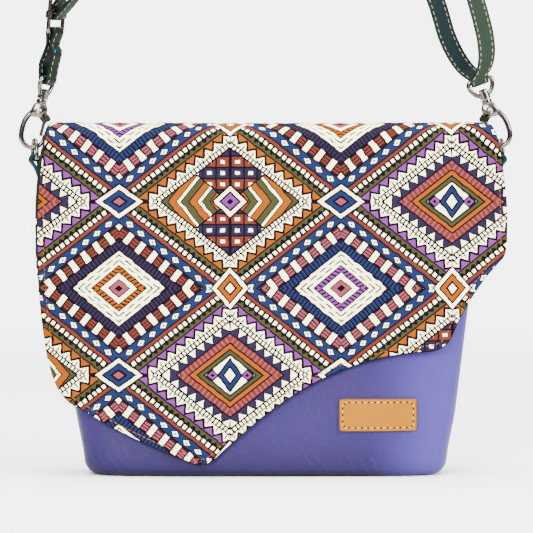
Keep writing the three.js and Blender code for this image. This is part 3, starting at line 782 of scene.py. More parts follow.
@dataclass(frozen=True)
class StrapLeather(Leather):
    """Strap leather: one colour outside, another inside, painted edges, and painted shade towards the left."""

    shine: float = 0.04
    inside: Colour = (0, 0, 0)
    edge: Colour = (0, 0, 0)
    half_width: float = 6.0
    edge_width: float = 0.55
    # Painted shade towards the bag's left.
    left_shade_share: float = 0.0
    left_shade_reach: tuple[float, float] = (-90.0, -122.0)

    def shaded(self, graph: Graph, shade: Any, height: Field) -> Any:
        """Colours the inside and the edges, and paints shade on the left.

        Args:
            graph: The material to build in.
            shade: The mottled colour.
            height: The grain's height.

        Returns:
            The colour.
        """
        across = abs(graph.number(graph.attribute("across")))
        outer = graph.number(graph.attribute("outer"))
        shade = graph.mix(outer < 0.0, shade, graph.mix(height * 0.3, self.inside, self.base))
        border = across > self.half_width - self.edge_width
        shade = graph.mix(border, shade, graph.mix(height, self.edge, self.inside))
        if not self.left_shade_share:
            return shade
        # Painted shade: the face darkens towards the edge colour on the bag's left.
        return graph.mix(graph.ramp(graph.axis(0), *self.left_shade_reach, self.left_shade_share), shade, self.edge)


@dataclass(frozen=True)
class Weave:
    """Plain woven cloth, with painted shade where the yarns dip."""

    name: str
    base: Colour
    shade: Colour
    yarn: float = 0.6

    def height(self, graph: Graph) -> Field:
        """Gives the height of yarns that go over and under each other."""
        warp, weft = ((graph.axis(k) * (math.pi / self.yarn)).apply("SINE") for k in (0, 2))
        return (warp * weft).scaled(0.5, 1.0)

    def material(self) -> bpy.types.Material:
        """Builds the material.

        Returns:
            The material.
        """
        graph = Graph(self.name)
        height = self.height(graph)
        slub = graph.noise(graph.place(), 5, 4)
        # Painted shade where the yarns dip, mixed with random slubs.
        shade = graph.mix(height * slub, self.shade, self.base)
        return graph.surface(
            Base_Color=shade, Roughness=slub.scaled(0.75, 0.95), Normal=graph.bump(height, 0.12),
            Specular_IOR_Level=0.1,
        )


@dataclass(frozen=True)
class Metal:
    """Plated or plain metal with faint handling marks."""

    name: str
    base: Colour
    dull: Colour
    roughness: tuple[float, float]
    mark_depth: float = 0.003

    def material(self) -> bpy.types.Material:
        """Builds the material.

        Returns:
            The material.
        """
        graph = Graph(self.name)
        marks = graph.noise(graph.place((1, 1, 6), (20, 40, 0)), 1.2, 5)
        cloud = graph.noise(graph.place(), 6, 3)
        return graph.surface(
            Base_Color=graph.mix(cloud, self.base, self.dull), Metallic=1.0,
            Roughness=marks.scaled(*self.roughness), Normal=graph.bump(marks, self.mark_depth),
        )


@dataclass(frozen=True)
class Thread:
    """Waxed sewing thread, with painted shade in the grooves of its twist."""

    name: str
    base: Colour
    shade: Colour

    def material(self) -> bpy.types.Material:
        """Builds the material.

        Returns:
            The material.
        """
        graph = Graph(self.name)
        twist = graph.node("TexWave", Vector=graph.place((1, 1, 1), (35, 20, 45)), Scale=0.9, Distortion=1.0)
        height = graph.number(twist.outputs["Fac"])
        # Painted shade in the grooves of the twist.
        shade = graph.mix(height, self.shade, self.base)
        return graph.surface(
            Base_Color=shade, Roughness=0.7, Normal=graph.bump(height, 0.08), Specular_IOR_Level=0.1
        )


class Ink(Enum):
    """The inks of the printed cloth."""

    CREAM = tone(241, 236, 229)
    DARK = tone(22, 11, 20)
    BLUE = tone(54, 72, 126)
    ORCHID = tone(170, 110, 178)
    RUST = tone(156, 88, 74)
    OLIVE = tone(106, 106, 68)
    MUSTARD = tone(190, 132, 50)
    PINK = tone(184, 122, 134)
    VIOLET = tone(66, 54, 92)


class Print:
    """Layers of ink on the cloth's flat sizes.

    A lattice of bands has nested diamonds, arrows and bricks in its cells. The numbers in the methods are
    distances on the cloth, from the lattice's lines or along them.
    """

    HALF_WIDE = 72.0
    HALF_TALL = 56.0
    SHIFT = (23.0, 35.0)
    WOBBLE = 0.7
    LINE = 1.15

    def __init__(self, graph: Graph) -> None:
        """Sets up the fields that the motifs are drawn on.

        Args:
            graph: The material to build in.
        """
        self.graph = graph
        self.flat = graph.attribute("flat", "Vector")
        parts = graph.node("SeparateXYZ", Vector=self.flat)
        across, down = (graph.number(parts.outputs[k]) for k in (0, 1))
        hand = graph.noise(self.flat, 5, 2)
        self.across = across + hand.scaled(self.SHIFT[0] - self.WOBBLE, self.SHIFT[0] + self.WOBBLE)
        self.down = down + hand.scaled(self.SHIFT[1] + self.WOBBLE, self.SHIFT[1] - self.WOBBLE)
        self.p = self.across.fold(self.HALF_WIDE)
        self.q = self.down.fold(self.HALF_TALL)
        reach = 1 / math.hypot(1 / self.HALF_WIDE, 1 / self.HALF_TALL)
        diagonal = math.hypot(self.HALF_WIDE, self.HALF_TALL)
        share = self.p * (1 / self.HALF_WIDE) + self.q * (1 / self.HALF_TALL)
        self.off = (share - 1.0) * reach
        self.run = self.p * (self.HALF_WIDE / diagonal) - self.q * (self.HALF_TALL / diagonal)
        self.shade: Any = Ink.CREAM.value

    def parity(self, start: float) -> Field:
        """Is 1 in every other cell, with the cells' edges a share of a cell from the start.

        Args:
            start: The share of a cell.

        Returns:
            The mask.
        """
        columns = (self.across * (0.5 / self.HALF_WIDE) + start).apply("FLOOR")
        rows = (self.down * (0.5 / self.HALF_TALL) + start).apply("FLOOR")
        return (columns + rows).wrap(2.0) > 0.5

    def either(self, odd: Field, one: Ink, other: Ink) -> bpy.types.NodeSocket:
        """Gives one ink or another by a mask."""
        return self.graph.mix(odd, one.value, other.value)

    def lay(self, ink: Any, mask: Field) -> None:
        """Lays an ink or a colour where a mask is 1."""
        self.shade = self.graph.mix(mask, self.shade, ink.value if isinstance(ink, Ink) else ink)

    def teeth(self, period: float, size: float) -> Field:
        """Gives a row of triangles along the bands, with a period and a height."""
        return self.run.fold(period / 2) * (2 * size / period)

    def bars(self, period: float, size: float) -> Field:
        """Is 1 on bars across the bands, with a period and a width."""
        return self.run.wrap(period) < size

    def band(self, depth: Field, low: float, high: float, ink: Any) -> Field:
        """Lays one band with a dark line on its far side.

        Args:
            depth: The distance from the lattice's line.
            low: Where the band starts.
            high: Where it ends.
            ink: The ink or colour.

        Returns:
            The band's mask.
        """
        mask = depth.between(low, high)
        self.lay(Ink.DARK, depth.between(high, high + self.LINE))
        self.lay(ink, mask)
        return mask

    def nest(self, where: Field, size: Field, *rings: tuple[float, Ink]) -> None:
        """Lays shapes inside each other, from the largest."""
        for reach, ink in rings:
            self.lay(ink, where & (size < reach))

    def lattice(self) -> None:
        """Lays the bands on both sides of the lattice's lines."""
        inner, outer, odd = self.off * -1.0, self.off, self.parity(0.5)
        self.lay(Ink.DARK, abs(self.off) < 2.1)
        self.lay(Ink.CREAM, (abs(self.off) < 1.25) & ~self.bars(3.8, 1.5))
        band = self.band(inner, 2.1, 5.2, Ink.OLIVE)
        self.lay(Ink.DARK, band & ((inner - 2.1) < self.teeth(4.4, 2.4)))
        band = self.band(inner, 6.05, 13.0, self.either(odd, Ink.ORCHID, Ink.MUSTARD))
        wave = inner - self.teeth(7.6, 4.4)
        self.lay(Ink.CREAM, band & (wave > 7.2))
        self.lay(Ink.DARK, band & wave.between(5.9, 8.1))
        self.lay(Ink.DARK, band & (wave > 9.4) & self.bars(2.53, 0.9))
        band = self.band(inner, 13.85, 16.0, Ink.CREAM)
        self.lay(Ink.DARK, band & self.bars(2.6, 1.1))
        self.band(outer, 2.1, 4.0, Ink.RUST)
        band = self.band(outer, 4.85, 10.2, Ink.BLUE)
        bead = abs(self.run.wrap(9.4) - 4.7) * 0.45 + abs(outer - 7.5) * 0.7
        self.nest(band, bead, (1.75, Ink.DARK), (1.25, Ink.CREAM), (0.45, Ink.DARK))

    def diamonds(self, where: Field) -> None:
        """Lays nested diamonds with two eyes in half of the cells.

        Args:
            where: A mask of those cells.
        """
        inner = self.off * -1.0
        inside = where & (inner > 16.8)
        teeth = inner - self.teeth(7.0, 5.4)
        self.lay(Ink.VIOLET, inside)
        self.lay(Ink.DARK, inside & (teeth < 17.2))
        self.lay(Ink.CREAM, inside & (teeth < 15.9))
        self.lay(Ink.DARK, inside & (inner > 22.4))
        self.lay(Ink.RUST, inside & inner.between(23.3, 27.4))
        self.lay(Ink.PINK, inside & inner.between(23.3, 27.4) & self.bars(3.2, 1.2))
        self.lay(Ink.MUSTARD, inside & inner.between(28.3, 30.6))
        self.lay(Ink.OLIVE, inside & inner.between(31.5, 33.4))
        core = inside & (inner > 34.4)
        self.lay(Ink.CREAM, core)
        spindle = self.p * (1 / 8.5) + self.q * (1 / 11.5)
        eye = abs(self.p - 11.2) * (1 / 4.6) + self.q * (1 / 4.2)
        self.nest(core, eye, (1.0, Ink.DARK), (0.72, Ink.ORCHID), (0.3, Ink.DARK))
        self.nest(core, spindle, (1.0, Ink.DARK), (0.84, Ink.BLUE), (0.56, Ink.DARK), (0.4, Ink.CREAM))

    def quarters(self, where: Field) -> None:
        """Lays arrows and bricks by quarters in the other cells.

        Args:
            where: A mask of those cells.
        """
        inside = where & (self.off < -16.8)
        slope = self.p * (self.HALF_TALL / self.HALF_WIDE) - self.q
        sideways = slope > 0.0
        arrow = (self.p + self.q * 0.8).wrap(13.6)
        for low, high, ink in ((0, 4.2, Ink.OLIVE), (5.1, 7.2, Ink.CREAM), (8.1, 12.7, Ink.MUSTARD)):
            self.lay(Ink.DARK, inside & sideways & arrow.between(low, high + 0.9))
            self.lay(ink, inside & sideways & arrow.between(low, high))
        brick = inside & ~sideways
        rows, columns = self.q.wrap(7.2), self.p.wrap(8.6)
        self.lay(Ink.DARK, brick)
        cell = brick & (rows > 1.0) & (columns > 1.0)
        self.lay(Ink.RUST, cell)
        self.lay(Ink.VIOLET, cell & (self.q.wrap(14.4) < 7.2))
        self.lay(Ink.CREAM, cell & (abs(columns - 4.8) < 1.5) & (abs(rows - 4.1) < 1.1))
        self.lay(Ink.DARK, inside & (abs(slope) < 0.7))
        middle = self.p * (1 / 12.5) + self.q * (1 / 11.5)
        self.nest(inside, middle, (1.0, Ink.DARK), (0.86, Ink.CREAM), (0.6, Ink.DARK))
        self.nest(inside, middle, (0.46, Ink.ORCHID), (0.16, Ink.DARK))

    def arrows(self) -> None:
        """Lays ladders and nested arrows in the cells on the lattice's other side."""
        outer, odd = self.off, self.parity(0.0)
        ladder = outer.between(11.05, 18.8)
        self.lay(Ink.DARK, ladder & self.bars(9.8, 6.2))
        fill = ladder & outer.between(11.9, 18.0) & self.run.wrap(9.8).between(1.0, 5.2)
        self.lay(self.either(odd, Ink.RUST, Ink.PINK), fill)
        self.lay(Ink.DARK, fill & (outer.wrap(2.0) < 0.6))
        self.lay(Ink.DARK, outer > 18.8)
        self.lay(self.either(odd, Ink.VIOLET, Ink.BLUE), outer.between(19.7, 24.4) & ~self.bars(2.5, 0.9))
        p, q = self.p * -1.0 + self.HALF_WIDE, self.q * -1.0 + self.HALF_TALL
        point, inside = p + q * 1.2, outer > 25.3
        self.lay(Ink.CREAM, inside)
        self.lay(Ink.DARK, inside & (point.wrap(4.2) < 1.5) & (point > 19.0) & (q.wrap(5.0) < 3.2))
        self.lay(Ink.DARK, inside & (point < 18.4))
        self.lay(self.either(odd, Ink.MUSTARD, Ink.ORCHID), inside & point.between(12.8, 17.4))
        self.lay(Ink.DARK, inside & point.between(12.8, 17.4) & ((q - p * 0.5).wrap(2.8) < 1.0))
        self.nest(inside, point, (11.8, Ink.CREAM), (7.6, Ink.DARK), (6.4, Ink.PINK), (2.6, Ink.DARK))

    def crossings(self) -> None:
        """Lays nested diamonds where the lattice's lines cross."""
        p, q = self.p * -1.0 + self.HALF_WIDE, self.q * -1.0 + self.HALF_TALL
        upright, level = self.p * (1 / 13.0) + q * (1 / 15.0), p * (1 / 17.0) + self.q * (1 / 12.0)
        every = self.p > -1.0
        self.nest(every, upright, (1.0, Ink.DARK), (0.9, Ink.CREAM), (0.68, Ink.DARK), (0.58, Ink.MUSTARD))
        self.nest(every, level, (1.0, Ink.DARK), (0.9, Ink.CREAM), (0.68, Ink.DARK), (0.58, Ink.BLUE))
        self.nest(every, upright, (0.34, Ink.DARK), (0.22, Ink.CREAM))
        self.nest(every, level, (0.34, Ink.DARK), (0.22, Ink.PINK))

    def colour(self) -> bpy.types.NodeSocket:
        """Draws the whole print.

        Returns:
            The colour of the cloth.
        """
        odd = self.parity(0.5)
        self.diamonds(~odd)
        self.quarters(odd)
        self.arrows()
        self.lattice()
        self.crossings()
        return self.shade


@dataclass(frozen=True)
class PrintedCloth(Weave):
    """Woven cloth with a print on its flat sizes."""

    def material(self) -> bpy.types.Material:
        """Builds the material.

        Returns:
            The material.
        """
        graph = Graph(self.name)
        height = self.height(graph)
        ink = Print(graph).colour()
        fade = graph.noise(graph.place(), 1.4, 4)
        shade = graph.mix((fade * height).scaled(-0.1, 0.22), ink, self.shade)
        return graph.surface(
            Base_Color=shade, Roughness=fade.scaled(0.7, 0.9), Normal=graph.bump(height, 0.06),
            Specular_IOR_Level=0.04,
        )


@dataclass(frozen=True)
class StagePaint:
    """Matt pale paint of the floor, which fades out at its edge."""

    name: str = "stage_paint"
    base: Colour = (0.9, 0.89, 0.88)
    shade: Colour = (0.84, 0.83, 0.82)
    fade: tuple[float, float] = (1600, 600)

    def material(self) -> bpy.types.Material:
        """Builds the material.

        Returns:
            The material.
        """
        graph = Graph(self.name)
        brush = graph.noise(graph.place((0.12, 1, 1)), 9, 4)
        shade = graph.mix(brush, self.shade, self.base)
        x, y = graph.axis(0), graph.axis(1)
        reach = (x * x + y * y).apply("SQRT")
        alpha = graph.ramp(reach, *self.fade, smooth=True)
        return graph.surface(Base_Color=shade, Roughness=0.85, Normal=graph.bump(brush, 0.1), Alpha=alpha)


class Finishes:
    """All the finishes of the bag, as materials."""

    def __init__(self) -> None:
        """Builds each material once."""
        self.violet = BodyLeather(
            "violet_leather", tone(94, 78, 145), tone(135, 123, 188), tone(85, 69, 135),
            roughness=0.45, grain=1.0, grain_depth=0.14, shine=0.1,
        ).material()
        self.green = Leather(
            "green_leather", tone(58, 74, 62), tone(78, 92, 78), tone(40, 52, 44), roughness=0.75, shine=0.03
        ).material()
        self.strap = StrapLeather(
            "strap_leather", tone(77, 97, 82), tone(92, 112, 97), tone(65, 83, 69), grain=0.8,
            inside=tone(34, 53, 61), edge=tone(26, 46, 42), left_shade_share=0.72,
        ).material()
        paint = tone(32, 92, 98)
        self.lap = StrapLeather(
            "lap_leather", paint, tone(44, 112, 118), tone(26, 74, 80), grain=0.8, inside=paint, edge=paint
        ).material()
        self.tab = StrapLeather(
            "tab_leather", tone(50, 72, 68), tone(70, 94, 90), tone(36, 54, 54), grain=0.8,
            inside=tone(30, 44, 42), edge=tone(28, 116, 124), half_width=4.5, edge_width=1.1,
        ).material()
        label = Label()
        self.tan = LabelLeather(
            "tan_leather", tone(205, 171, 70), tone(217, 186, 88), tone(193, 155, 60),
            grain=0.7, grain_depth=0.03, shine=0.05, middle=(label.x, label.z), half=label.rim_half,
        ).material()
        self.printed = PrintedCloth("printed_cloth", (1, 1, 1), tone(96, 84, 92), 0.55).material()
        self.canvas = Weave("canvas_lining", tone(196, 184, 160), tone(150, 138, 116)).material()
        self.nickel = Metal("nickel", (0.17, 0.155, 0.135), (0.09, 0.078, 0.063), (0.13, 0.24)).material()
        self.steel = Metal("steel", (0.36, 0.35, 0.33), (0.26, 0.25, 0.24), (0.25, 0.4)).material()
        self.tan_thread = Thread("tan_thread", tone(206, 154, 66), tone(166, 114, 44)).material()
        self.pale_thread = Thread("pale_thread", tone(222, 218, 200), tone(184, 176, 152)).material()
        self.cream_thread = Thread("cream_thread", tone(236, 222, 182), tone(214, 190, 140)).material()
        # Dark marks at the needle holes: painted shade inside the holes.
        self.hole = Leather("needle_hole", tone(36, 20, 10), tone(48, 28, 16), tone(28, 16, 8)).material()
        self.stage = StagePaint().material()


class Sewing:
    """Rows of stitches, each a copy of one small grain of thread."""

    SEGMENTS, RINGS = 8, 5

    def __init__(self) -> None:
        """Models the one stitch that is copied."""
        bpy.ops.object.select_all(action="DESELECT")
        bpy.ops.mesh.primitive_uv_sphere_add(segments=self.SEGMENTS, ring_count=self.RINGS, radius=0.5)
        model = bpy.context.object
        self.points = Bench.points(model)[:, [2, 0, 1]]
        self.faces = [tuple(face.vertices) for face in model.data.polygons]
        bpy.data.objects.remove(model)

    def row(
        self, name: str, centres: Array, along: Array, out: Array, size: tuple[float, float, float]
    ) -> Piece:
        """Copies the stitch along a row.

        Args:
            name: The piece's name.
            centres: Places of the stitches.
            along: The row's direction at each.
            out: The direction out of the surface at each.
            size: A stitch's length, width and height.

        Returns:
            One piece with all the stitches.
        """
        out = unit(out - along * np.sum(out * along, axis=1, keepdims=True))
        across = np.cross(out, along)
        grain = self.points * size
        frames = np.stack([along, across, out], 1)
        places = np.einsum("pk,nkc->npc", grain, frames) + centres[:, None]
        count = len(self.points)
        faces = [tuple(v + n * count for v in face) for n in range(len(centres)) for face in self.faces]
        mesh = bpy.data.meshes.new(name)
        mesh.from_pydata((places.reshape(-1, 3) * MM).tolist(), [], faces)
        piece = bpy.data.objects.new(name, mesh)
        bpy.context.scene.collection.objects.link(piece)
        Bench.edit(piece, lambda: bpy.ops.mesh.normals_make_consistent(inside=False))
        Bench.soften(piece, 80)
        return piece


class Skin:
    """The outer surface of a finished piece, to sew on or rest on."""

    def __init__(self, piece: Piece) -> None:
        """Reads the piece's surface."""
        bpy.context.view_layer.update()
        self.tree = BVHTree.FromObject(piece, bpy.context.evaluated_depsgraph_get())

    def hit(self, x: Array, z: Array, towards: int = 1) -> tuple[Array, Array]:
        """Finds the surface from the front or the back.

        Args:
            x: Places across.
            z: Heights.
            towards: 1 looks from the front, -1 from the back.

        Returns:
            Places and normals in millimetres.
        """
        spots, normals = [], []
        for a, b in zip(np.ravel(x), np.ravel(z)):
            start = Vector((a * MM, -towards, b * MM))
            found, normal, _, _ = self.tree.ray_cast(start, Vector((0, towards, 0)))
            spots.append(Vector(found) / MM if found else (a, math.nan, b))
            normals.append(normal if found else (0, -towards, 0))
        return np.array(spots, float), np.array(normals, float)


@dataclass(frozen=True)
class Fold:
    """A crease pressed into the leather, with its middle, its lean in radians, its reach and its depth."""

    HOLLOW, BANK, BANK_SHARE = 2.6, 5.5, 0.6

    x: float
    z: float
    lean: float
    reach: float
    depth: float

    def press(self, x: Array, z: Array) -> Array:
        """Gives how deep the crease is at places across and up a panel.

        Args:
            x: Places across.
            z: Heights.

        Returns:
            Depths.
        """
        along = (x - self.x) * math.cos(self.lean) + (z - self.z) * math.sin(self.lean)
        off = -(x - self.x) * math.sin(self.lean) + (z - self.z) * math.cos(self.lean)
        form = np.exp(-((off / self.HOLLOW) ** 2)) - self.BANK_SHARE * np.exp(-((off / self.BANK) ** 2))
        return self.depth * np.exp(-((along / self.reach) ** 2)) * form


@dataclass
class Body:
    """The boxed leather body, open at the mouth, and the cloth pouch inside it."""

    height: float = 222.5
    base_half_width: float = 117.5
    mouth_half_width: float = 145
    base_half_depth: float = 37
    mouth_half_depth: float = 12
    depth_curve: float = 1.25
    corner_power: float = 5
    base_edge: float = 9
    leather: float = 1.8
    pouch_inset: float = 2.6
    pouch_drop: float = 3
    pouch_wall: float = 0.6
    swell: float = 0.7
    seam_width: float = 1.1
    seam_depth: float = 0.9
    side_swell: float = 1.8
    around: int = 200
    seam_steps: tuple[float, ...] = (0.6, 1.1, 1.7, 2.4)
    girth: float = 620
    base_rows: int = 9
    edge_rows: int = 7
    wall_rows: int = 64
    folds: tuple[Fold, ...] = (
        Fold(22, 14, -0.9, 26, 1.1), Fold(31, 16, -0.6, 22, 0.8), Fold(62, 12, -0.8, 18, 0.7),
        Fold(-84, 15, 0.8, 20, 0.8), Fold(96, 13, 0.7, 16, 0.6), Fold(4, 26, -1.1, 20, 0.6),
    )

    def half_width(self, z: Any) -> Any:
        """Gives half of the width at a height."""
        return lerp(self.base_half_width, self.mouth_half_width, np.asarray(z, float) / self.height)

    def half_depth(self, z: Any) -> Any:
        """Gives half of the depth at a height."""
        share = np.maximum(np.asarray(z, float), 0) / self.height
        return lerp(self.base_half_depth, self.mouth_half_depth, share**self.depth_curve)

    def panel_depth(self, x: Any, z: Any) -> Any:
        """Gives how far a panel stands from the middle at a place."""
        share = np.minimum(np.abs(x) / self.half_width(z), 1)
        return self.half_depth(z) * (1 - share**self.corner_power) ** (1 / self.corner_power)

    def ring(self, z: float, inset: float, stops: Array) -> Array:
        """Gives a ring of places round the body, from the back middle.

        Args:
            z: The ring's height.
            inset: How far in from the outside.
            stops: Shares of the way round.

        Returns:
            Places in millimetres.
        """
        turn = np.linspace(0, 2 * math.pi, 4001) + math.pi / 2
        squared = [np.sign(v) * np.abs(v) ** (2 / self.corner_power) for v in (np.cos(turn), np.sin(turn))]
        x, y = (self.half_width(z) - inset) * squared[0], (self.half_depth(z) - inset) * squared[1]
        length = np.r_[0, np.cumsum(np.hypot(np.diff(x), np.diff(y)))]
        level = [np.interp(stops * length[-1], length, values) for values in (x, y)]
        return np.stack([*level, np.full(len(stops), z)], 1)

    def stops(self) -> Array:
        """Gives shares round a ring, closer together at the side seams.

        Returns:
            Shares in rising order.
        """
        near = np.array([sign * step for sign in (-1, 1) for step in self.seam_steps]) / self.girth
        even = np.linspace(0, 1, self.around + 1)
        return np.unique(np.round(np.r_[even, 0.25 + near, 0.75 + near], 7))

    def wall(self, inset: float, top: float, stops: Array) -> Array:
        """Gives rings from the middle of the base up to a height.

        Args:
            inset: How far in from the outside.
            top: The height of the mouth.
            stops: Shares of the way round.

        Returns:
            Places, by ring and stop.
        """
        radius = self.base_edge - inset
        shares = np.linspace(0, 0.97, self.base_rows)
        rings = [self.ring(inset, self.base_edge, stops) * (share, share, 1) for share in shares]
        for turn in np.linspace(0, math.pi / 2, self.edge_rows):
            rise, back = (inset + radius * (1 - wave(turn)) for wave in (math.cos, math.sin))
            rings.append(self.ring(rise, back, stops))
        rings += [self.ring(z, inset, stops) for z in np.linspace(self.base_edge, top, self.wall_rows + 1)[1:]]
        return np.array(rings)

    def sag(self, places: Array) -> Array:
        """Gives the leather its soft swell, dents and creases.

        Args:
            places: Places on the plain outside.

        Returns:
            The moved places.
        """
        x, y, z = places[..., 0], places[..., 1], places[..., 2]
        moved = places.copy()
        front = -np.sign(y) * ease(0.3, 0.8, np.abs(y) / self.half_depth(z))
        inside = 1 - ease(0.75, 1.0, np.abs(x) / self.half_width(z))
        lift = ease(4, 40, z) * (1 - ease(150, 215, z))
        # Two slow waves of unlike lengths keep the swell uneven.
        swell = 1.6 * np.sin(x / 41 + 0.6) * np.cos(z / 37 - 0.4) + 0.8 * np.sin(x / 17 - z / 23)
        fold = sum(fold.press(x, z) for fold in self.folds)
        moved[..., 1] -= front * inside * (swell * lift * self.swell - fold * ease(1, 9, z))
        at_side = np.abs(x) > 0.6 * self.half_width(z)
        seam = np.exp(-((y / self.seam_width) ** 2)) * ease(6, 16, z) * at_side
        moved[..., 0] -= np.sign(x) * seam * self.seam_depth
        bulge = self.side_swell * ease(12, 45, z) * (1 - ease(110, 170, z))
        moved[..., 0] *= 1 + bulge / self.half_width(z)
        return moved

    def shell(self, name: str, inset: float, top: float, thickness: float, sagging: bool) -> Piece:
        """Builds one open bag.

        Args:
            name: The piece's name.
            inset: How far in from the body's outside.
            top: The height of its mouth.
            thickness: The wall, inwards.
            sagging: Whether it gets the leather's swell and creases.

        Returns:
            The piece.
        """
        stops = self.stops()
        rings = self.wall(inset, top, stops)
        piece, column, row = Bench.grid(name, len(stops) - 1, len(rings) - 1)
        places = rings[row, column]
        Bench.place(piece, self.sag(places) if sagging else places)
        Bench.close(piece)
        Bench.modify(piece, "SOLIDIFY", thickness=thickness * MM, offset=-1)
        Bench.soften(piece, 50)
        return piece

    def build(self, finishes: Finishes) -> list[Piece]:
        """Builds the body and its pouch.

        Args:
            finishes: The materials.

        Returns:
            The pieces.
        """
        body = self.shell("body_leather", 0, self.height, self.leather, True)
        Bench.dress(body, finishes.violet, "violet_leather")
        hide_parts("body_shell")
        mouth = self.height - self.pouch_drop
        pouch = self.shell("pouch_cloth", self.pouch_inset, mouth, self.pouch_wall, False)
        Bench.dress(pouch, finishes.canvas, "canvas_lining")
        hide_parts("lining_pouch")
        for piece in (body, pouch):
            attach(piece, "bag")
        return [body, pouch]


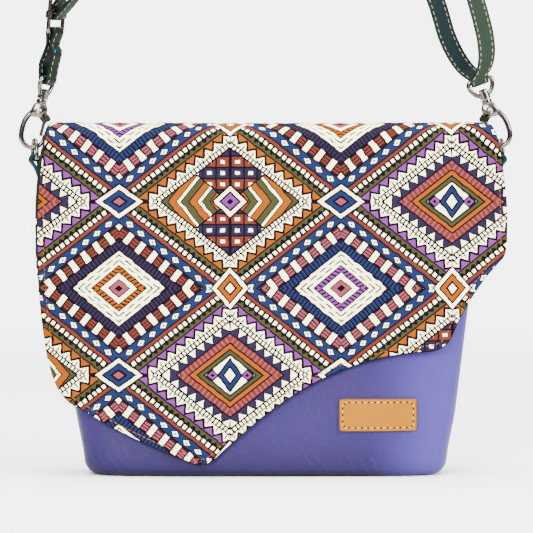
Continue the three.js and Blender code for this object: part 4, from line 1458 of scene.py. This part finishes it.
@dataclass
class Flap:
    """The printed flap: sewn on behind, bent over the mouth and cut to two points."""

    body: Body
    standoff: float = 6.0
    cloth: float = 1.2
    backing: float = 1.0
    shoulder_drop: float = 9
    hinge_rise: float = 1.5
    crown_rise: float = 9.5
    crown_lean: float = 0.7
    crown_spread: float = 0.8
    hinge: tuple[float, float] = (-133, 135)
    left: tuple[float, float, tuple[float, float]] = (143.8, 148, (139, 68))
    right: tuple[float, float, tuple[float, float]] = (152.2, 156.4, (156.4, 146))
    side_drop: float = 50
    side_wrap: float = 7
    wrap_start: float = 0.6
    strip: tuple[float, float] = (28, 3)
    strip_gap: float = 0.7
    corner_lift: tuple[float, float] = (1.2, 2.6)
    lift_span: tuple[float, float] = (0.4, 0.75)
    crown_dip: float = 0.6
    edge_rest: float = 2.6
    wave: float = 0.66
    crown_length: float = 45
    bend_length: float = 8
    backing_margin: float = 0.7
    backing_gap: float = 0.25
    flat: tuple[float, float] = (0.31, 0.29)
    stitch: tuple[float, float, float] = (2.6, 0.7, 0.5)
    edge_steps: int = 14
    rows: tuple[int, int, int] = (8, 18, 64)
    stitch_inset: float = 3.3
    stitch_pitch: float = 3.4
    edge_start: tuple[float, float] = (-141, 78)
    edge: tuple[tuple[tuple[float, float], ...], ...] = (
        ((-137, 51), (-120, 45)),
        ((-90, 26), (-50, 11)),
        ((-41, 6), (-33, 12.5)),
        ((0, 44), (40, 78), (104, 82)),
        ((116, 82), (120.5, 91.5)),
        ((133, 121), (153.4, 141)),
        ((156.4, 144), (156.4, 150)),
    )

    @property
    def top(self) -> float:
        """The height where the crown meets the front."""
        return self.body.height - self.shoulder_drop

    @property
    def hinge_place(self) -> tuple[float, float]:
        """The hinge line's distance behind the middle and its height."""
        return self.body.mouth_half_depth + self.hinge_rise, self.body.height + self.hinge_rise

    def lower_edge(self) -> Array:
        """Gives places along the lower edge, from the left side to the right.

        Returns:
            Distances across and heights.
        """
        places, start = [np.array(self.edge_start, float)], np.array(self.edge_start, float)
        for curve in self.edge:
            knots = [start, *(np.array(knot, float) for knot in curve)]
            for share in np.arange(1, self.edge_steps + 1) / self.edge_steps:
                line = knots
                while len(line) > 1:
                    line = [lerp(a, b, share) for a, b in zip(line, line[1:])]
                places.append(line[0])
            start = knots[-1]
        return np.array(places)

    def side(self, z: Any, shape: tuple[float, float, tuple[float, float]]) -> Any:
        """Gives how far out a side is at a height.

        Args:
            z: Heights.
            shape: The reach at the shoulder, the full reach, and the lower corner.

        Returns:
            Distances from the middle.
        """
        shoulder, full, (corner, corner_height) = shape
        below = self.top - np.asarray(z, float)
        high = lerp(full, shoulder, (1 - below / self.side_drop) ** 2)
        share = np.clip((below - self.side_drop) / (self.top - self.side_drop - corner_height), 0, 1)
        return np.where(below < self.side_drop, high, lerp(full, corner, share**2))

    def share(self, x: Any, z: Any) -> Any:
        """Gives the share of the way from the left side to the right."""
        left, right = -self.side(z, self.left), self.side(z, self.right)
        return (x - left) / (right - left)

    def front(self, share: Any, z: Any, foot: Any) -> Array:
        """Gives places on the front's under face.

        Args:
            share: Shares from the left side to the right.
            z: Heights.
            foot: The lower edge's height under each place.

        Returns:
            Places in millimetres.
        """
        x = lerp(-self.side(z, self.left), self.side(z, self.right), share)
        outward = np.maximum(np.abs(2 * share - 1) - self.wrap_start, 0) / (1 - self.wrap_start)
        settled = np.minimum((self.top - z) / self.side_drop, 1)
        down = ease(20, 110, self.top - z)
        rest = self.edge_rest * (1 - ease(0, 42, z - foot)) * ease(8, 40, self.top - z)
        wave = self.wave * np.sin(x / 33 + 0.8) * np.cos(z / 47) * down
        wrap = self.side_wrap * outward**2 * settled
        y = -(self.body.half_depth(z) + self.standoff) + wrap + rest - wave
        return np.stack([x, y, z], -1)

    def surface(self, with_strip: bool, margin: float) -> tuple[Array, Array]:
        """Gives the flap's under face as rows of places, and their flat sizes.

        Args:
            with_strip: Whether the strip that is sewn on behind is part of it.
            margin: How far it reaches past the printed face's outline.

        Returns:
            Places and flat sizes, both by row and column.
        """
        edge = self.lower_edge()
        along = Line(np.insert(edge, 1, 0, axis=1)).along
        edge = edge + margin * np.stack([along[:, 2], -along[:, 0]], 1)
        share = self.share(edge[:, 0], edge[:, 1])
        strip_rows, crown_rows, front_rows = self.rows
        back = lerp(self.hinge[0], self.hinge[1], share)
        rows, flats, run = [], [], 0.0
        hinge_y, hinge_z = self.hinge_place
        tall, drop = self.strip
        if with_strip:
            for k in range(strip_rows):
                z = self.body.height - drop - tall * (1 - k / strip_rows)
                depth = self.body.panel_depth(back, z) + self.strip_gap
                rows.append(np.stack([back, depth, np.full_like(back, z)], 1))
                flats.append(np.stack([back, np.full_like(back, -tall - drop + tall * k / strip_rows)], 1))
        face = -(self.body.half_depth(self.top) + self.standoff)
        knots = np.array([
            (hinge_y, hinge_z),
            (hinge_y * self.crown_lean, self.body.height + self.crown_rise),
            (face, self.body.height + self.crown_rise - self.hinge_rise),
            (face, self.top),
        ])
        side = np.abs(2 * share - 1)
        corner = side**3 * np.where(share > 0.5, self.corner_lift[1], self.corner_lift[0])
        shoulder = lerp(-self.side(self.top, self.left), self.side(self.top, self.right), share)
        last = knots[0]
        for k in range(crown_rows):
            a = k / crown_rows
            weights = ((1 - a) ** 3, 3 * a * (1 - a) ** 2, 3 * a * a * (1 - a), a**3)
            y, z = sum(weight * knot for weight, knot in zip(weights, knots))
            run += math.hypot(y - last[0], z - last[1])
            last = (y, z)
            x = lerp(back, shoulder, a**self.crown_spread)
            arch = math.sin(math.pi * a)
            lift = corner * arch * ease(*self.lift_span, a) - self.crown_dip * arch * (1 - side)
            rows.append(np.stack([x, np.full_like(x, y), z + lift], 1))
            flats.append(np.stack([x, np.full_like(x, run)], 1))
        run += math.hypot(face - last[0], self.top - last[1])
        for k in range(front_rows + 1):
            z = lerp(self.top, edge[:, 1], k / front_rows)
            places = self.front(share, z, edge[:, 1])
            rows.append(places)
            flats.append(np.stack([places[:, 0], run + self.top - z], 1))
        return np.array(rows), np.array(flats)

    def sheet(self, name: str, with_strip: bool, margin: float, under: float, over: float) -> Piece:
        """Builds one layer of the flap.

        Args:
            name: The piece's name.
            with_strip: Whether it has the strip that is sewn on behind.
            margin: How far it reaches past the printed face's outline.
            under: Where its under face is, out from the flap's own under face.
            over: Where its upper face is.

        Returns:
            The piece.
        """
        rows, flats = self.surface(with_strip, margin)
        piece, column, row = Bench.grid(name, rows.shape[1] - 1, rows.shape[0] - 1)
        row = rows.shape[0] - 1 - row
        Bench.place(piece, rows[row, column])
        flat = flats[row, column]
        Bench.mark(piece, "flat", np.c_[flat, np.zeros(len(flat))])
        if under:
            normals = np.zeros(len(piece.data.vertices) * 3)
            piece.data.vertices.foreach_get("normal", normals)
            Bench.place(piece, Bench.points(piece) / MM + normals.reshape(-1, 3) * under)
        Bench.modify(piece, "SOLIDIFY", thickness=(over - under) * MM, offset=1)
        Bench.soften(piece, 50)
        return piece

    def blend(self, piece: Piece) -> None:
        """Bakes a piece's transform into its mesh. The hinge line's place is worked out but not used.

        Args:
            piece: The piece.
        """
        y, z = self.hinge_place
        end = (0, (y - self.bend_length) * MM, z * MM)
        y * MM
        z * MM
        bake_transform(piece)

    def outline(self) -> Array:
        """Gives the front's outline from the left shoulder round to the right, as distance and height.

        Returns:
            The outline.
        """
        edge = self.lower_edge()
        start = self.top - 2
        left = np.linspace(start, edge[0, 1], 40)[:-1]
        right = np.linspace(edge[-1, 1], start, 24)[1:]
        return np.vstack([
            np.c_[-self.side(left, self.left), left], edge, np.c_[self.side(right, self.right), right]
        ])

    def sew(self, cloth: Piece, sewing: Sewing) -> list[Piece]:
        """Sews round the front's edge and along the strip behind.

        Args:
            cloth: The printed face.
            sewing: The stitch.

        Returns:
            The rows of stitches.
        """
        skin = Skin(cloth)
        outline = Line(np.insert(self.outline(), 1, 0, axis=1))
        inward = np.cross(outline.along, (0, 1, 0))
        inset = Line(outline.places + inward * self.stitch_inset)
        index, spots = inset.even(self.stitch_pitch)
        places, normals = skin.hit(spots[:, 0], spots[:, 2])
        steps = np.arange(len(inset.along))
        along = np.stack([np.interp(index, steps, inset.along[:, k]) for k in range(3)], 1)
        kept = ~np.isnan(places[:, 1])
        front = sewing.row("flap_edge_stitches", places[kept], unit(along[kept]), normals[kept], self.stitch)
        low = self.body.height - self.strip[1] - self.strip[0] + self.stitch_inset
        x = np.arange(self.hinge[0] + self.stitch_inset, self.hinge[1] - self.stitch_inset, self.stitch_pitch)
        places, normals = skin.hit(x, np.full_like(x, low), -1)
        back = sewing.row("flap_seam_stitches", places, np.tile((1.0, 0, 0), (len(x), 1)), normals, self.stitch)
        return [front, back]

    def front_area(self) -> float:
        """Gives the area inside the front's outline."""
        x, z = self.outline().T
        return abs(np.sum(x * np.roll(z, -1) - np.roll(x, -1) * z)) / 2

    def build(self, finishes: Finishes, sewing: Sewing) -> list[Piece]:
        """Builds the flap's layers and stitches.

        Args:
            finishes: The materials.
            sewing: The stitch.

        Returns:
            The pieces.
        """
        cloth = self.sheet("flap_cloth", True, 0, 0, self.cloth)
        Bench.dress(cloth, finishes.printed, "printed_cloth")
        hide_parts("flap_panel", "flap_seam_strip")
        over = -self.backing_gap
        backing = self.sheet("flap_backing", False, self.backing_margin, over - self.backing, over)
        Bench.dress(backing, finishes.green, "green_leather")
        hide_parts("flap_lining")
        rows = self.sew(cloth, sewing)
        for piece in rows:
            Bench.dress(piece, finishes.tan_thread, "printed_cloth")
        for piece in (cloth, backing, *rows):
            self.blend(piece)
        wide = self.hinge[1] - self.hinge[0]
        inner = self.front_area() + wide * self.crown_length
        for piece, area in ((cloth, inner + wide * sum(self.strip)), (backing, inner)):
            area * MM**2
        return [cloth, backing, *rows]


@dataclass
class Label:
    """The bare leather label, sewn round its edge."""

    x: float = 73
    z: float = 40.5
    wide: float = 50.5
    tall: float = 21
    corner: float = 2.8
    thickness: float = 1.4
    inset: float = 2.3
    pitch: float = 4.2
    rim: float = 0.5
    sunk: float = 0.2
    bevel: float = 0.35
    rows: int = 25
    columns: int = 48
    side_steps: int = 29
    stitch: tuple[float, float, float] = (2.6, 0.62, 0.34)
    hole: tuple[float, float, float] = (1.6, 1.3, 0.3)

    @property
    def rim_half(self) -> tuple[float, float]:
        """Half of the width and of the height inside the dark rim."""
        return self.wide / 2 - self.rim, self.tall / 2 - self.rim

    def reach(self, rise: Array) -> Array:
        """Gives half of the label's width at heights from its middle."""
        over = np.maximum(np.abs(rise) - (self.tall / 2 - self.corner), 0)
        return self.wide / 2 - self.corner + np.sqrt(np.maximum(self.corner**2 - over**2, 0))

    def seam(self) -> Line:
        """Gives the line of the stitches, seen from the front.

        Returns:
            The line.
        """
        half = (self.wide / 2 - self.inset, self.tall / 2 - self.inset)
        corners = np.array([(-1, -1), (1, -1), (1, 1), (-1, 1)]) * half + (self.x, self.z)
        shares = np.linspace(0, 1, self.side_steps, endpoint=False)
        sides = [lerp(a, b, share) for a, b in zip(corners, np.roll(corners, -1, 0)) for share in shares]
        return Line(np.insert(np.array(sides), 1, 0, axis=1), True)

    def build(self, body: Piece, finishes: Finishes, sewing: Sewing) -> list[Piece]:
        """Builds the label on the body.

        Args:
            body: The finished body.
            finishes: The materials.
            sewing: The stitch.

        Returns:
            The pieces.
        """
        bow = np.sin(np.linspace(-0.5, 0.5, self.rows) * math.pi)
        rise = lerp(np.linspace(-1, 1, self.rows), bow, 0.35) * self.tall / 2
        piece, column, row = Bench.grid("label_leather", self.columns, self.rows - 1)
        across = self.x + self.reach(rise[row]) * (2 * column / self.columns - 1)
        places, _ = Skin(body).hit(across, self.z + rise[row])
        places[:, 1] -= self.sunk
        Bench.place(piece, places)
        Bench.modify(piece, "SOLIDIFY", thickness=self.thickness * MM, offset=1)
        angle = math.radians(50)
        Bench.modify(piece, "BEVEL", width=self.bevel * MM, segments=2, limit_method="ANGLE", angle_limit=angle)
        Bench.soften(piece, 50)
        Bench.dress(piece, finishes.tan, "tan_leather")
        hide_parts("label_patch")
        seam = self.seam()
        index, spots = seam.even(self.pitch)
        along = seam.along[np.rint(index).astype(int) % len(seam.places)]
        surface = Skin(piece)
        places, normals = surface.hit(spots[:, 0], spots[:, 2])
        thread = sewing.row("label_stitches", places, along, normals, self.stitch)
        Bench.dress(thread, finishes.cream_thread, "tan_leather")
        # Dark marks between the stitches: painted shade of the needle holes.
        ends = (spots + np.roll(spots, -1, 0)) / 2
        places, normals = surface.hit(ends[:, 0], ends[:, 2])
        holes = sewing.row("label_needle_holes", places, along, normals, self.hole)
        Bench.dress(holes, finishes.hole, "tan_leather")
        for part in (piece, thread, holes):
            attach(part, "bag")
        return [piece, thread, holes]


@dataclass
class Held:
    """A bar that a strap goes round."""

    centre: Array
    along: Array
    radius: float


@dataclass
class Straps:
    """The doubled long strap and the short strap, with their stitches and their route round the bars."""

    width: float = 12
    leather: float = 2.2
    gap: float = 0.35
    hang: float = 15
    hook_x: dict[Side, float] = field(default_factory=lambda: {Side.LEFT: 147, Side.RIGHT: 145})
    hook_z: float = 245
    bail_rise: float = 13.5
    bail_wire: float = 1.5
    tilt: dict[Side, float] = field(default_factory=lambda: {Side.LEFT: 15, Side.RIGHT: 20})
    turn: dict[Side, float] = field(default_factory=lambda: {Side.LEFT: 62, Side.RIGHT: 0})
    slider: tuple[float, float, float] = (-137.6, 15, 300.5)
    slider_lean: float = 6
    strap_lean: float = 36
    slider_wire: float = 1.4
    slider_half: float = 12
    top: float = 505
    stitch_inset: float = 2.0
    stitch_pitch: float = 4.1
    turns: tuple[float, ...] = (0.06, 0, -0.25, -0.5, -0.75, -1, -1.06)
    belly: tuple[float, float] = (3.0, 2.2)
    lap_top: float = 0.66
    lap_half: float = 0.9
    section_points: int = 28
    stitch: tuple[float, float, float] = (2.7, 0.46, 0.3)
    rise: tuple[tuple[float, float, float], ...] = (
        (133.2, 5, 263.5), (126.6, 4.5, 272), (120, 3.5, 285), (112, 2.5, 310), (92.5, 1, 352), (60, 0, 425),
    )
    fall: tuple[tuple[float, float, float], ...] = (
        (98, 0, 430), (128.5, -4, 345), (138, -5.5, 310), (141.6, -6, 297), (144.5, -6, 284),
        (145.2, -5.4, 272), (143.4, -4.2, 264),
    )

    def bail(self, side: Side) -> Held:
        """Gives the bar of a bail.

        Args:
            side: The side.

        Returns:
            The bar.
        """
        sign = side.value
        tilt = -sign * math.radians(self.tilt[side])
        turn = math.radians(self.turn[side])
        up = np.array([math.sin(tilt), 0, math.cos(tilt)])
        across = np.array([math.cos(tilt), 0, -math.sin(tilt)])
        centre = np.array([sign * self.hook_x[side], self.hang, self.hook_z]) + up * self.bail_rise
        along = across * math.cos(turn) + np.array([0, math.sin(turn), 0])
        return Held(centre, along, self.bail_wire)

    def slider_bar(self, drop: float) -> Held:
        """Gives a bar of the slider, a distance below its middle.

        Args:
            drop: The distance.

        Returns:
            The bar.
        """
        turn = math.radians(self.turn[Side.LEFT])
        along = np.array([math.cos(turn), math.sin(turn), 0])
        centre = np.array(self.slider) - self.leaning(along, self.slider_lean) * drop
        return Held(centre, along, self.slider_wire)

    def leaning(self, along: Array, lean: float) -> Array:
        """Gives the upward direction, leant round a bar."""
        up = np.array([0, 0, 1.0])
        return up * math.cos(math.radians(lean)) + np.cross(along, up) * math.sin(math.radians(lean))

    def round_bar(self, held: Held, up: Array) -> list[Array]:
        """Gives the strap's places round a bar.

        Args:
            held: The bar.
            up: The direction that the strap leaves it in.

        Returns:
            Places in millimetres.
        """
        radius = held.radius + self.gap + self.leather / 2
        side = unit(np.cross(held.along, up))
        away = unit(np.cross(side, held.along))
        turns = np.array(self.turns) * math.pi
        return [held.centre + radius * (side * math.cos(t) + away * math.sin(t)) for t in turns]

    def hung(self, *places: tuple[float, float, float]) -> list[Array]:
        """Gives places whose depths are from the plane that the strap hangs in."""
        return [np.array([x, self.hang + y, z], float) for x, y, z in places]

    def long_route(self) -> tuple[Array, Array]:
        """Gives the long strap's middle line and its directions across.

        Returns:
            Places, and a direction for each.
        """
        bail, middle = self.bail(Side.RIGHT), self.slider_bar(0)
        up = np.array([0, 0, 1.0])
        lean = self.leaning(middle.along, self.strap_lean)
        side = np.cross(middle.along, lean)
        clear = middle.radius + self.gap + self.leather / 2
        beyond = middle.centre + lean * (self.slider_half + self.leather)
        inner = self.top - self.leather - 4 * self.gap
        places = [
            *self.round_bar(bail, up),
            *self.hung(*self.rise, (30, 0, inner - 25), (0, 0, inner), (-23, 0, inner - 25)),
            *self.hung((-58, 0, 425), (-97, -2, 352)),
            beyond + side * (clear + self.leather),
            *self.round_bar(middle, lean),
            beyond - side * clear,
            *self.hung((-106, 1, 352), (-70, 0, 430), (-32, 0, self.top - 17), (0, 0, self.top)),
            *self.hung((46, 0, self.top - 17), *self.fall),
        ]
        line = spline(places, 10)
        left = (line[:, 0] < 0)[:, None]
        along = np.where(left, middle.along, bail.along)
        above = line[:, 2:] - np.where(left, middle.centre[2], bail.centre[2])
        return line, lerp(along, np.array([0, 1.0, 0]), ease(20, 160, above))

    def short_route(self) -> tuple[Array, Array]:
        """Gives the short strap's middle line and its directions across.

        Returns:
            Places, and a direction for each.
        """
        bail, lower = self.bail(Side.LEFT), self.slider_bar(self.slider_half)
        length = np.linalg.norm(lower.centre - bail.centre)
        up = (lower.centre - bail.centre) / length
        side = unit(np.cross(bail.along, up)) * (self.leather / 2 + self.gap)

        def between(*steps: tuple[float, float]) -> list[Array]:
            """Gives places by shares of the way up from the bail and distances off that line."""
            return [lerp(bail.centre, lower.centre, share) + side * off for share, off in steps]

        line = spline([
            *self.round_bar(bail, up),
            *between((0.3, -self.belly[0]), (0.55, -1.7), (0.75, -1)),
            *self.round_bar(lower, -up),
            *between((0.82, 1), (self.lap_top + 0.05, 1), (self.lap_top - 0.05, 2.6), (0.3, self.belly[1])),
        ], 8)
        share = np.clip((line - bail.centre) @ up / length, 0, 1)[:, None]
        return line, lerp(bail.along, lower.along, share)

    def section(self) -> Array:
        """Gives the strap's section."""
        return strip_section(self.width, self.leather, self.section_points)

    def strap(
        self, name: str, route: tuple[Array, Array], bar: Held, finishes: Finishes, sewing: Sewing
    ) -> list[Piece]:
        """Builds one strap with its stitches.

        Args:
            name: The start of the pieces' names.
            route: The middle line and the directions across.
            bar: A bar that the strap goes round, inside its loop.
            finishes: The materials.
            sewing: The stitch.

        Returns:
            The pieces.
        """
        places, widths = route
        line = Line(places, True)
        along, across, normal = line.axes(widths)
        nearest = np.argmin(np.linalg.norm(places - bar.centre, axis=1))
        outward = np.sign(np.dot(places[nearest] - bar.centre, normal[nearest]))
        piece = Bench.swept(f"{name}_leather", places, widths, self.section(), True, outward)
        Bench.soften(piece, 50)
        Bench.dress(piece, finishes.strap, "green_leather")
        index, spots = line.even(self.stitch_pitch)
        near = np.rint(index).astype(int) % len(places)
        reach = self.width / 2 - self.stitch_inset
        centres, out = [], []
        for edge in (-1, 1):
            for face in (-1, 1):
                lift = normal[near] * face
                centres.append(spots + across[near] * edge * reach + lift * self.leather / 2)
                out.append(lift)
        directions = np.tile(along[near], (len(out), 1))
        rows = sewing.row(f"{name}_stitches", np.vstack(centres), directions, np.vstack(out), self.stitch)
        Bench.dress(rows, finishes.pale_thread, "green_leather")
        for part in (piece, rows):
            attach(part, "bag")
        return [piece, rows]

    def lap_end(self, finishes: Finishes) -> Piece:
        """Builds the painted end of the short strap's lap.

        Args:
            finishes: The materials.

        Returns:
            The piece.
        """
        bail, lower = self.bail(Side.LEFT), self.slider_bar(self.slider_half)
        up = unit(lower.centre - bail.centre)
        side = unit(np.cross(bail.along, up))
        off = side * (self.leather / 2 + self.gap) * 2.5
        foot = lerp(bail.centre, lower.centre, self.lap_top - 0.02) + off
        line = foot + up * np.linspace(-self.lap_half, self.lap_half, 4)[:, None]
        widths = np.tile(bail.along, (len(line), 1))
        piece = Bench.swept("short_strap_end", line, widths, self.section() * (0.99, 1.1), False)
        Bench.soften(piece, 50)
        Bench.dress(piece, finishes.lap, "teal_leather")
        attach(piece, "bag")
        return piece

    def build(self, finishes: Finishes, sewing: Sewing) -> list[Piece]:
        """Builds both straps.

        Args:
            finishes: The materials.
            sewing: The stitch.

        Returns:
            The pieces.
        """
        long = self.strap("long_strap", self.long_route(), self.bail(Side.RIGHT), finishes, sewing)
        short = self.strap("short_strap", self.short_route(), self.bail(Side.LEFT), finishes, sewing)
        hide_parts("long_strap")
        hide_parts("short_strap")
        return [*long, *short, self.lap_end(finishes)]


@dataclass
class RingTab:
    """A leather tab folded round a ring's bar and sewn to the body's side."""

    body: Body
    side: Side
    hang: float = 15
    ring_x: dict[Side, float] = field(default_factory=lambda: {Side.LEFT: 152, Side.RIGHT: 155})
    ring_z: float = 205
    ring_turn: float = 15
    ring_wire: float = 1.3
    width: float = 9
    leather: float = 2.1
    gap: float = 0.35
    length: float = 26
    seam_y: float = 6
    pinch: float = 0.24
    steps: int = 8
    section_points: int = 24

    def build(self, finishes: Finishes) -> list[Piece]:
        """Builds the tab.

        Args:
            finishes: The materials.

        Returns:
            The piece in a list.
        """
        sign = self.side.value
        turn = sign * math.radians(self.ring_turn)
        across = np.array([math.sin(turn), math.cos(turn), 0])
        out = np.cross(across, (0, 0, sign))
        foot = np.array([sign * self.ring_x[self.side], self.hang, self.ring_z])
        radius = self.ring_wire + self.gap + self.leather / 2
        seam_z = self.ring_z - self.length
        seam_x = float(self.body.half_width(seam_z)) + 2 * self.gap + self.leather / 2
        inner = np.array([sign * seam_x, self.seam_y, seam_z])
        outer = inner + (sign * (self.leather + self.gap), 0, 0)
        arc = [
            foot + radius * (out * math.cos(s * math.pi) + np.array([0, 0, math.sin(s * math.pi)]))
            for s in np.linspace(-0.1, 1.1, 9)
        ]
        pinch = lerp(foot, (inner + outer) / 2, self.pinch)
        near = out * (self.leather + self.gap) / 2
        knots = [outer, pinch + near, *arc, pinch - near, inner]
        line = spline(knots, self.steps)[: (len(knots) - 1) * self.steps + 1]
        share = np.clip((line[:, 2:] - seam_z) / self.length, 0, 1)
        widths = lerp(np.array([0, 1.0, 0]), across, share)
        section = strip_section(self.width, self.leather, self.section_points)
        piece = Bench.swept(f"{self.side.label}_tab_leather", line, widths, section, False)
        Bench.soften(piece, 50)
        Bench.dress(piece, finishes.tab, "teal_leather")
        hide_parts(f"{self.side.label}_ring_tab")
        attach(piece, "bag")
        return [piece]


class Fittings:
    """The metal fittings, smoothed from the frame's solids."""

    SMOOTH = 46
    NICKEL = (
        "left_ring", "right_ring", "left_hook", "right_hook", "left_gate", "right_gate", "left_bail",
        "right_bail", "slider_frame", "slider_bar", "snap_socket", "snap_stud",
    )
    STEEL = ("left_gate_rivet", "right_gate_rivet", "left_gate_spring", "right_gate_spring")

    @classmethod
    def polish(cls, node: str, material: bpy.types.Material, slot: str) -> Piece:
        """Makes a smooth copy of a solid that stands for it.

        Args:
            node: The solid's name.
            material: The finish.
            slot: The record's slot.

        Returns:
            The copy.
        """
        solid = frame["nodes"][node]
        piece = bpy.data.objects.new(f"{node}_metal", solid.data.copy())
        bpy.context.scene.collection.objects.link(piece)
        Bench.edit(piece, lambda: bpy.ops.mesh.remove_doubles(threshold=MERGE))
        if piece.data.has_custom_normals:
            Bench.only(piece)
            bpy.ops.mesh.customdata_custom_splitnormals_clear()
        Bench.soften(piece, cls.SMOOTH)
        Bench.dress(piece, material, slot)
        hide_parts(node)
        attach(piece, solid["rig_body"])
        return piece

    def build(self, finishes: Finishes) -> list[Piece]:
        """Builds all the fittings."""
        pieces = [self.polish(node, finishes.nickel, "nickel") for node in self.NICKEL]
        return pieces + [self.polish(node, finishes.steel, "steel") for node in self.STEEL]


@dataclass
class Studio:
    """The floor, lights and camera."""

    aim: tuple[float, float, float] = (0.65, -25, 136.5)
    span: float = 346.45
    distance: float = 2600
    elevation: float = 3
    sensor: float = 36
    floor: float = 3600
    low_sky: float = 0.15
    high_sky: float = 2.2
    sky_span: tuple[float, float] = (0.1, 0.75)
    sky_colour: Colour = (0.97, 0.98, 1)
    paper: float = 5.6
    lit: tuple[float, float, float] = (0, 0, 120)

    def stage(self, finishes: Finishes) -> Piece:
        """Lays a plain floor that fades out at its edge.

        Args:
            finishes: The materials.

        Returns:
            The floor.
        """
        piece, _, _ = Bench.grid("studio_floor", 4, 4)
        Bench.place(piece, Bench.points(piece) * (self.floor, self.floor, 0))
        piece.data.materials.clear()
        piece.data.materials.append(finishes.stage)
        return piece

    def lamp(
        self, name: str, place: Sequence[float], size: tuple[float, float], power: float, colour: Colour
    ) -> None:
        """Adds a soft rectangular light that faces the bag.

        Args:
            name: The light's name.
            place: Where it stands.
            size: Its width and height.
            power: Its power in watts.
            colour: Its colour.
        """
        bpy.ops.object.select_all(action="DESELECT")
        where = Vector(place) * MM
        turn = (Vector(self.lit) * MM - where).to_track_quat("-Z", "Y").to_euler()
        bpy.ops.object.light_add(type="AREA", location=where, rotation=turn)
        light = bpy.context.object
        light.name = light.data.name = name
        light.data.shape = "RECTANGLE"
        light.data.size, light.data.size_y = (value * MM for value in size)
        light.data.energy = power
        light.data.color = colour

    def light(self) -> None:
        """Adds the studio's lights."""
        self.lamp("key_light", (2300, -1500, 1300), (1100, 1300), 190, (1, 0.985, 0.965))
        self.lamp("fill_light", (-900, -2500, 1300), (1300, 1300), 190, (0.97, 0.985, 1))
        self.lamp("top_light", (0, 100, 2200), (2200, 1800), 190, (1, 1, 1))

    def sky(self) -> None:
        """Makes a sky that is dim low down and bright above, with plain paper behind the bag."""
        world = bpy.context.scene.world or bpy.data.worlds.new("studio_sky")
        bpy.context.scene.world = world
        world.use_nodes = True
        tree = world.node_tree
        spot = tree.nodes.new("ShaderNodeSeparateXYZ")
        tree.links.new(tree.nodes.new("ShaderNodeTexCoord").outputs["Generated"], spot.inputs[0])
        height = tree.nodes.new("ShaderNodeMapRange")
        height.interpolation_type = "SMOOTHSTEP"
        limits = (*self.sky_span, self.low_sky, self.high_sky)
        for key, value in zip(("From Min", "From Max", "To Min", "To Max"), limits):
            height.inputs[key].default_value = value
        tree.links.new(spot.outputs[2], height.inputs["Value"])
        seen = tree.nodes.new("ShaderNodeMix")
        tree.links.new(tree.nodes.new("ShaderNodeLightPath").outputs["Is Camera Ray"], seen.inputs["Factor"])
        tree.links.new(height.outputs[0], seen.inputs["A"])
        seen.inputs["B"].default_value = self.paper
        tree.links.new(seen.outputs["Result"], tree.nodes["Background"].inputs["Strength"])
        tree.nodes["Background"].inputs["Color"].default_value = (*self.sky_colour, 1)

    def camera(self) -> None:
        """Adds the camera at the picture's angle."""
        lift = math.radians(self.elevation)
        away = Vector((0, -math.cos(lift), math.sin(lift))) * self.distance
        aim = Vector(self.aim)
        bpy.ops.object.select_all(action="DESELECT")
        turn = (-away).to_track_quat("-Z", "Y").to_euler()
        bpy.ops.object.camera_add(location=(aim + away) * MM, rotation=turn)
        camera = bpy.context.object
        camera.name = "photo_camera"
        camera.data.sensor_width = self.sensor
        camera.data.lens = self.sensor * self.distance / self.span
        camera.data.clip_end = 50
        bpy.context.scene.camera = camera

    def build(self, finishes: Finishes) -> None:
        """Builds the whole studio.

        Args:
            finishes: The materials.
        """
        self.camera()
        self.stage(finishes)
        self.light()
        self.sky()


def corners(bounds: Any) -> list[list[float]]:
    """Turns a box into plain lists."""
    return [[float(value) for value in corner] for corner in bounds]


def main() -> None:
    """Builds the bag piece by piece."""
    logging.basicConfig(level=logging.INFO, format="%(name)s: %(message)s")
    finishes = Finishes()
    Studio().build(finishes)
    sewing = Sewing()
    body = Body()
    pieces = body.build(finishes)
    leather = pieces[0]
    pieces += Flap(body).build(finishes, sewing)
    pieces += Label().build(leather, finishes, sewing)
    pieces += Straps().build(finishes, sewing)
    for side in Side:
        pieces += RingTab(body, side).build(finishes)
    pieces += Fittings().build(finishes)
    for piece in pieces:
        LOG.info("%s: %d faces", piece.name, len(piece.data.polygons))


if __name__ == "__main__":
    main()
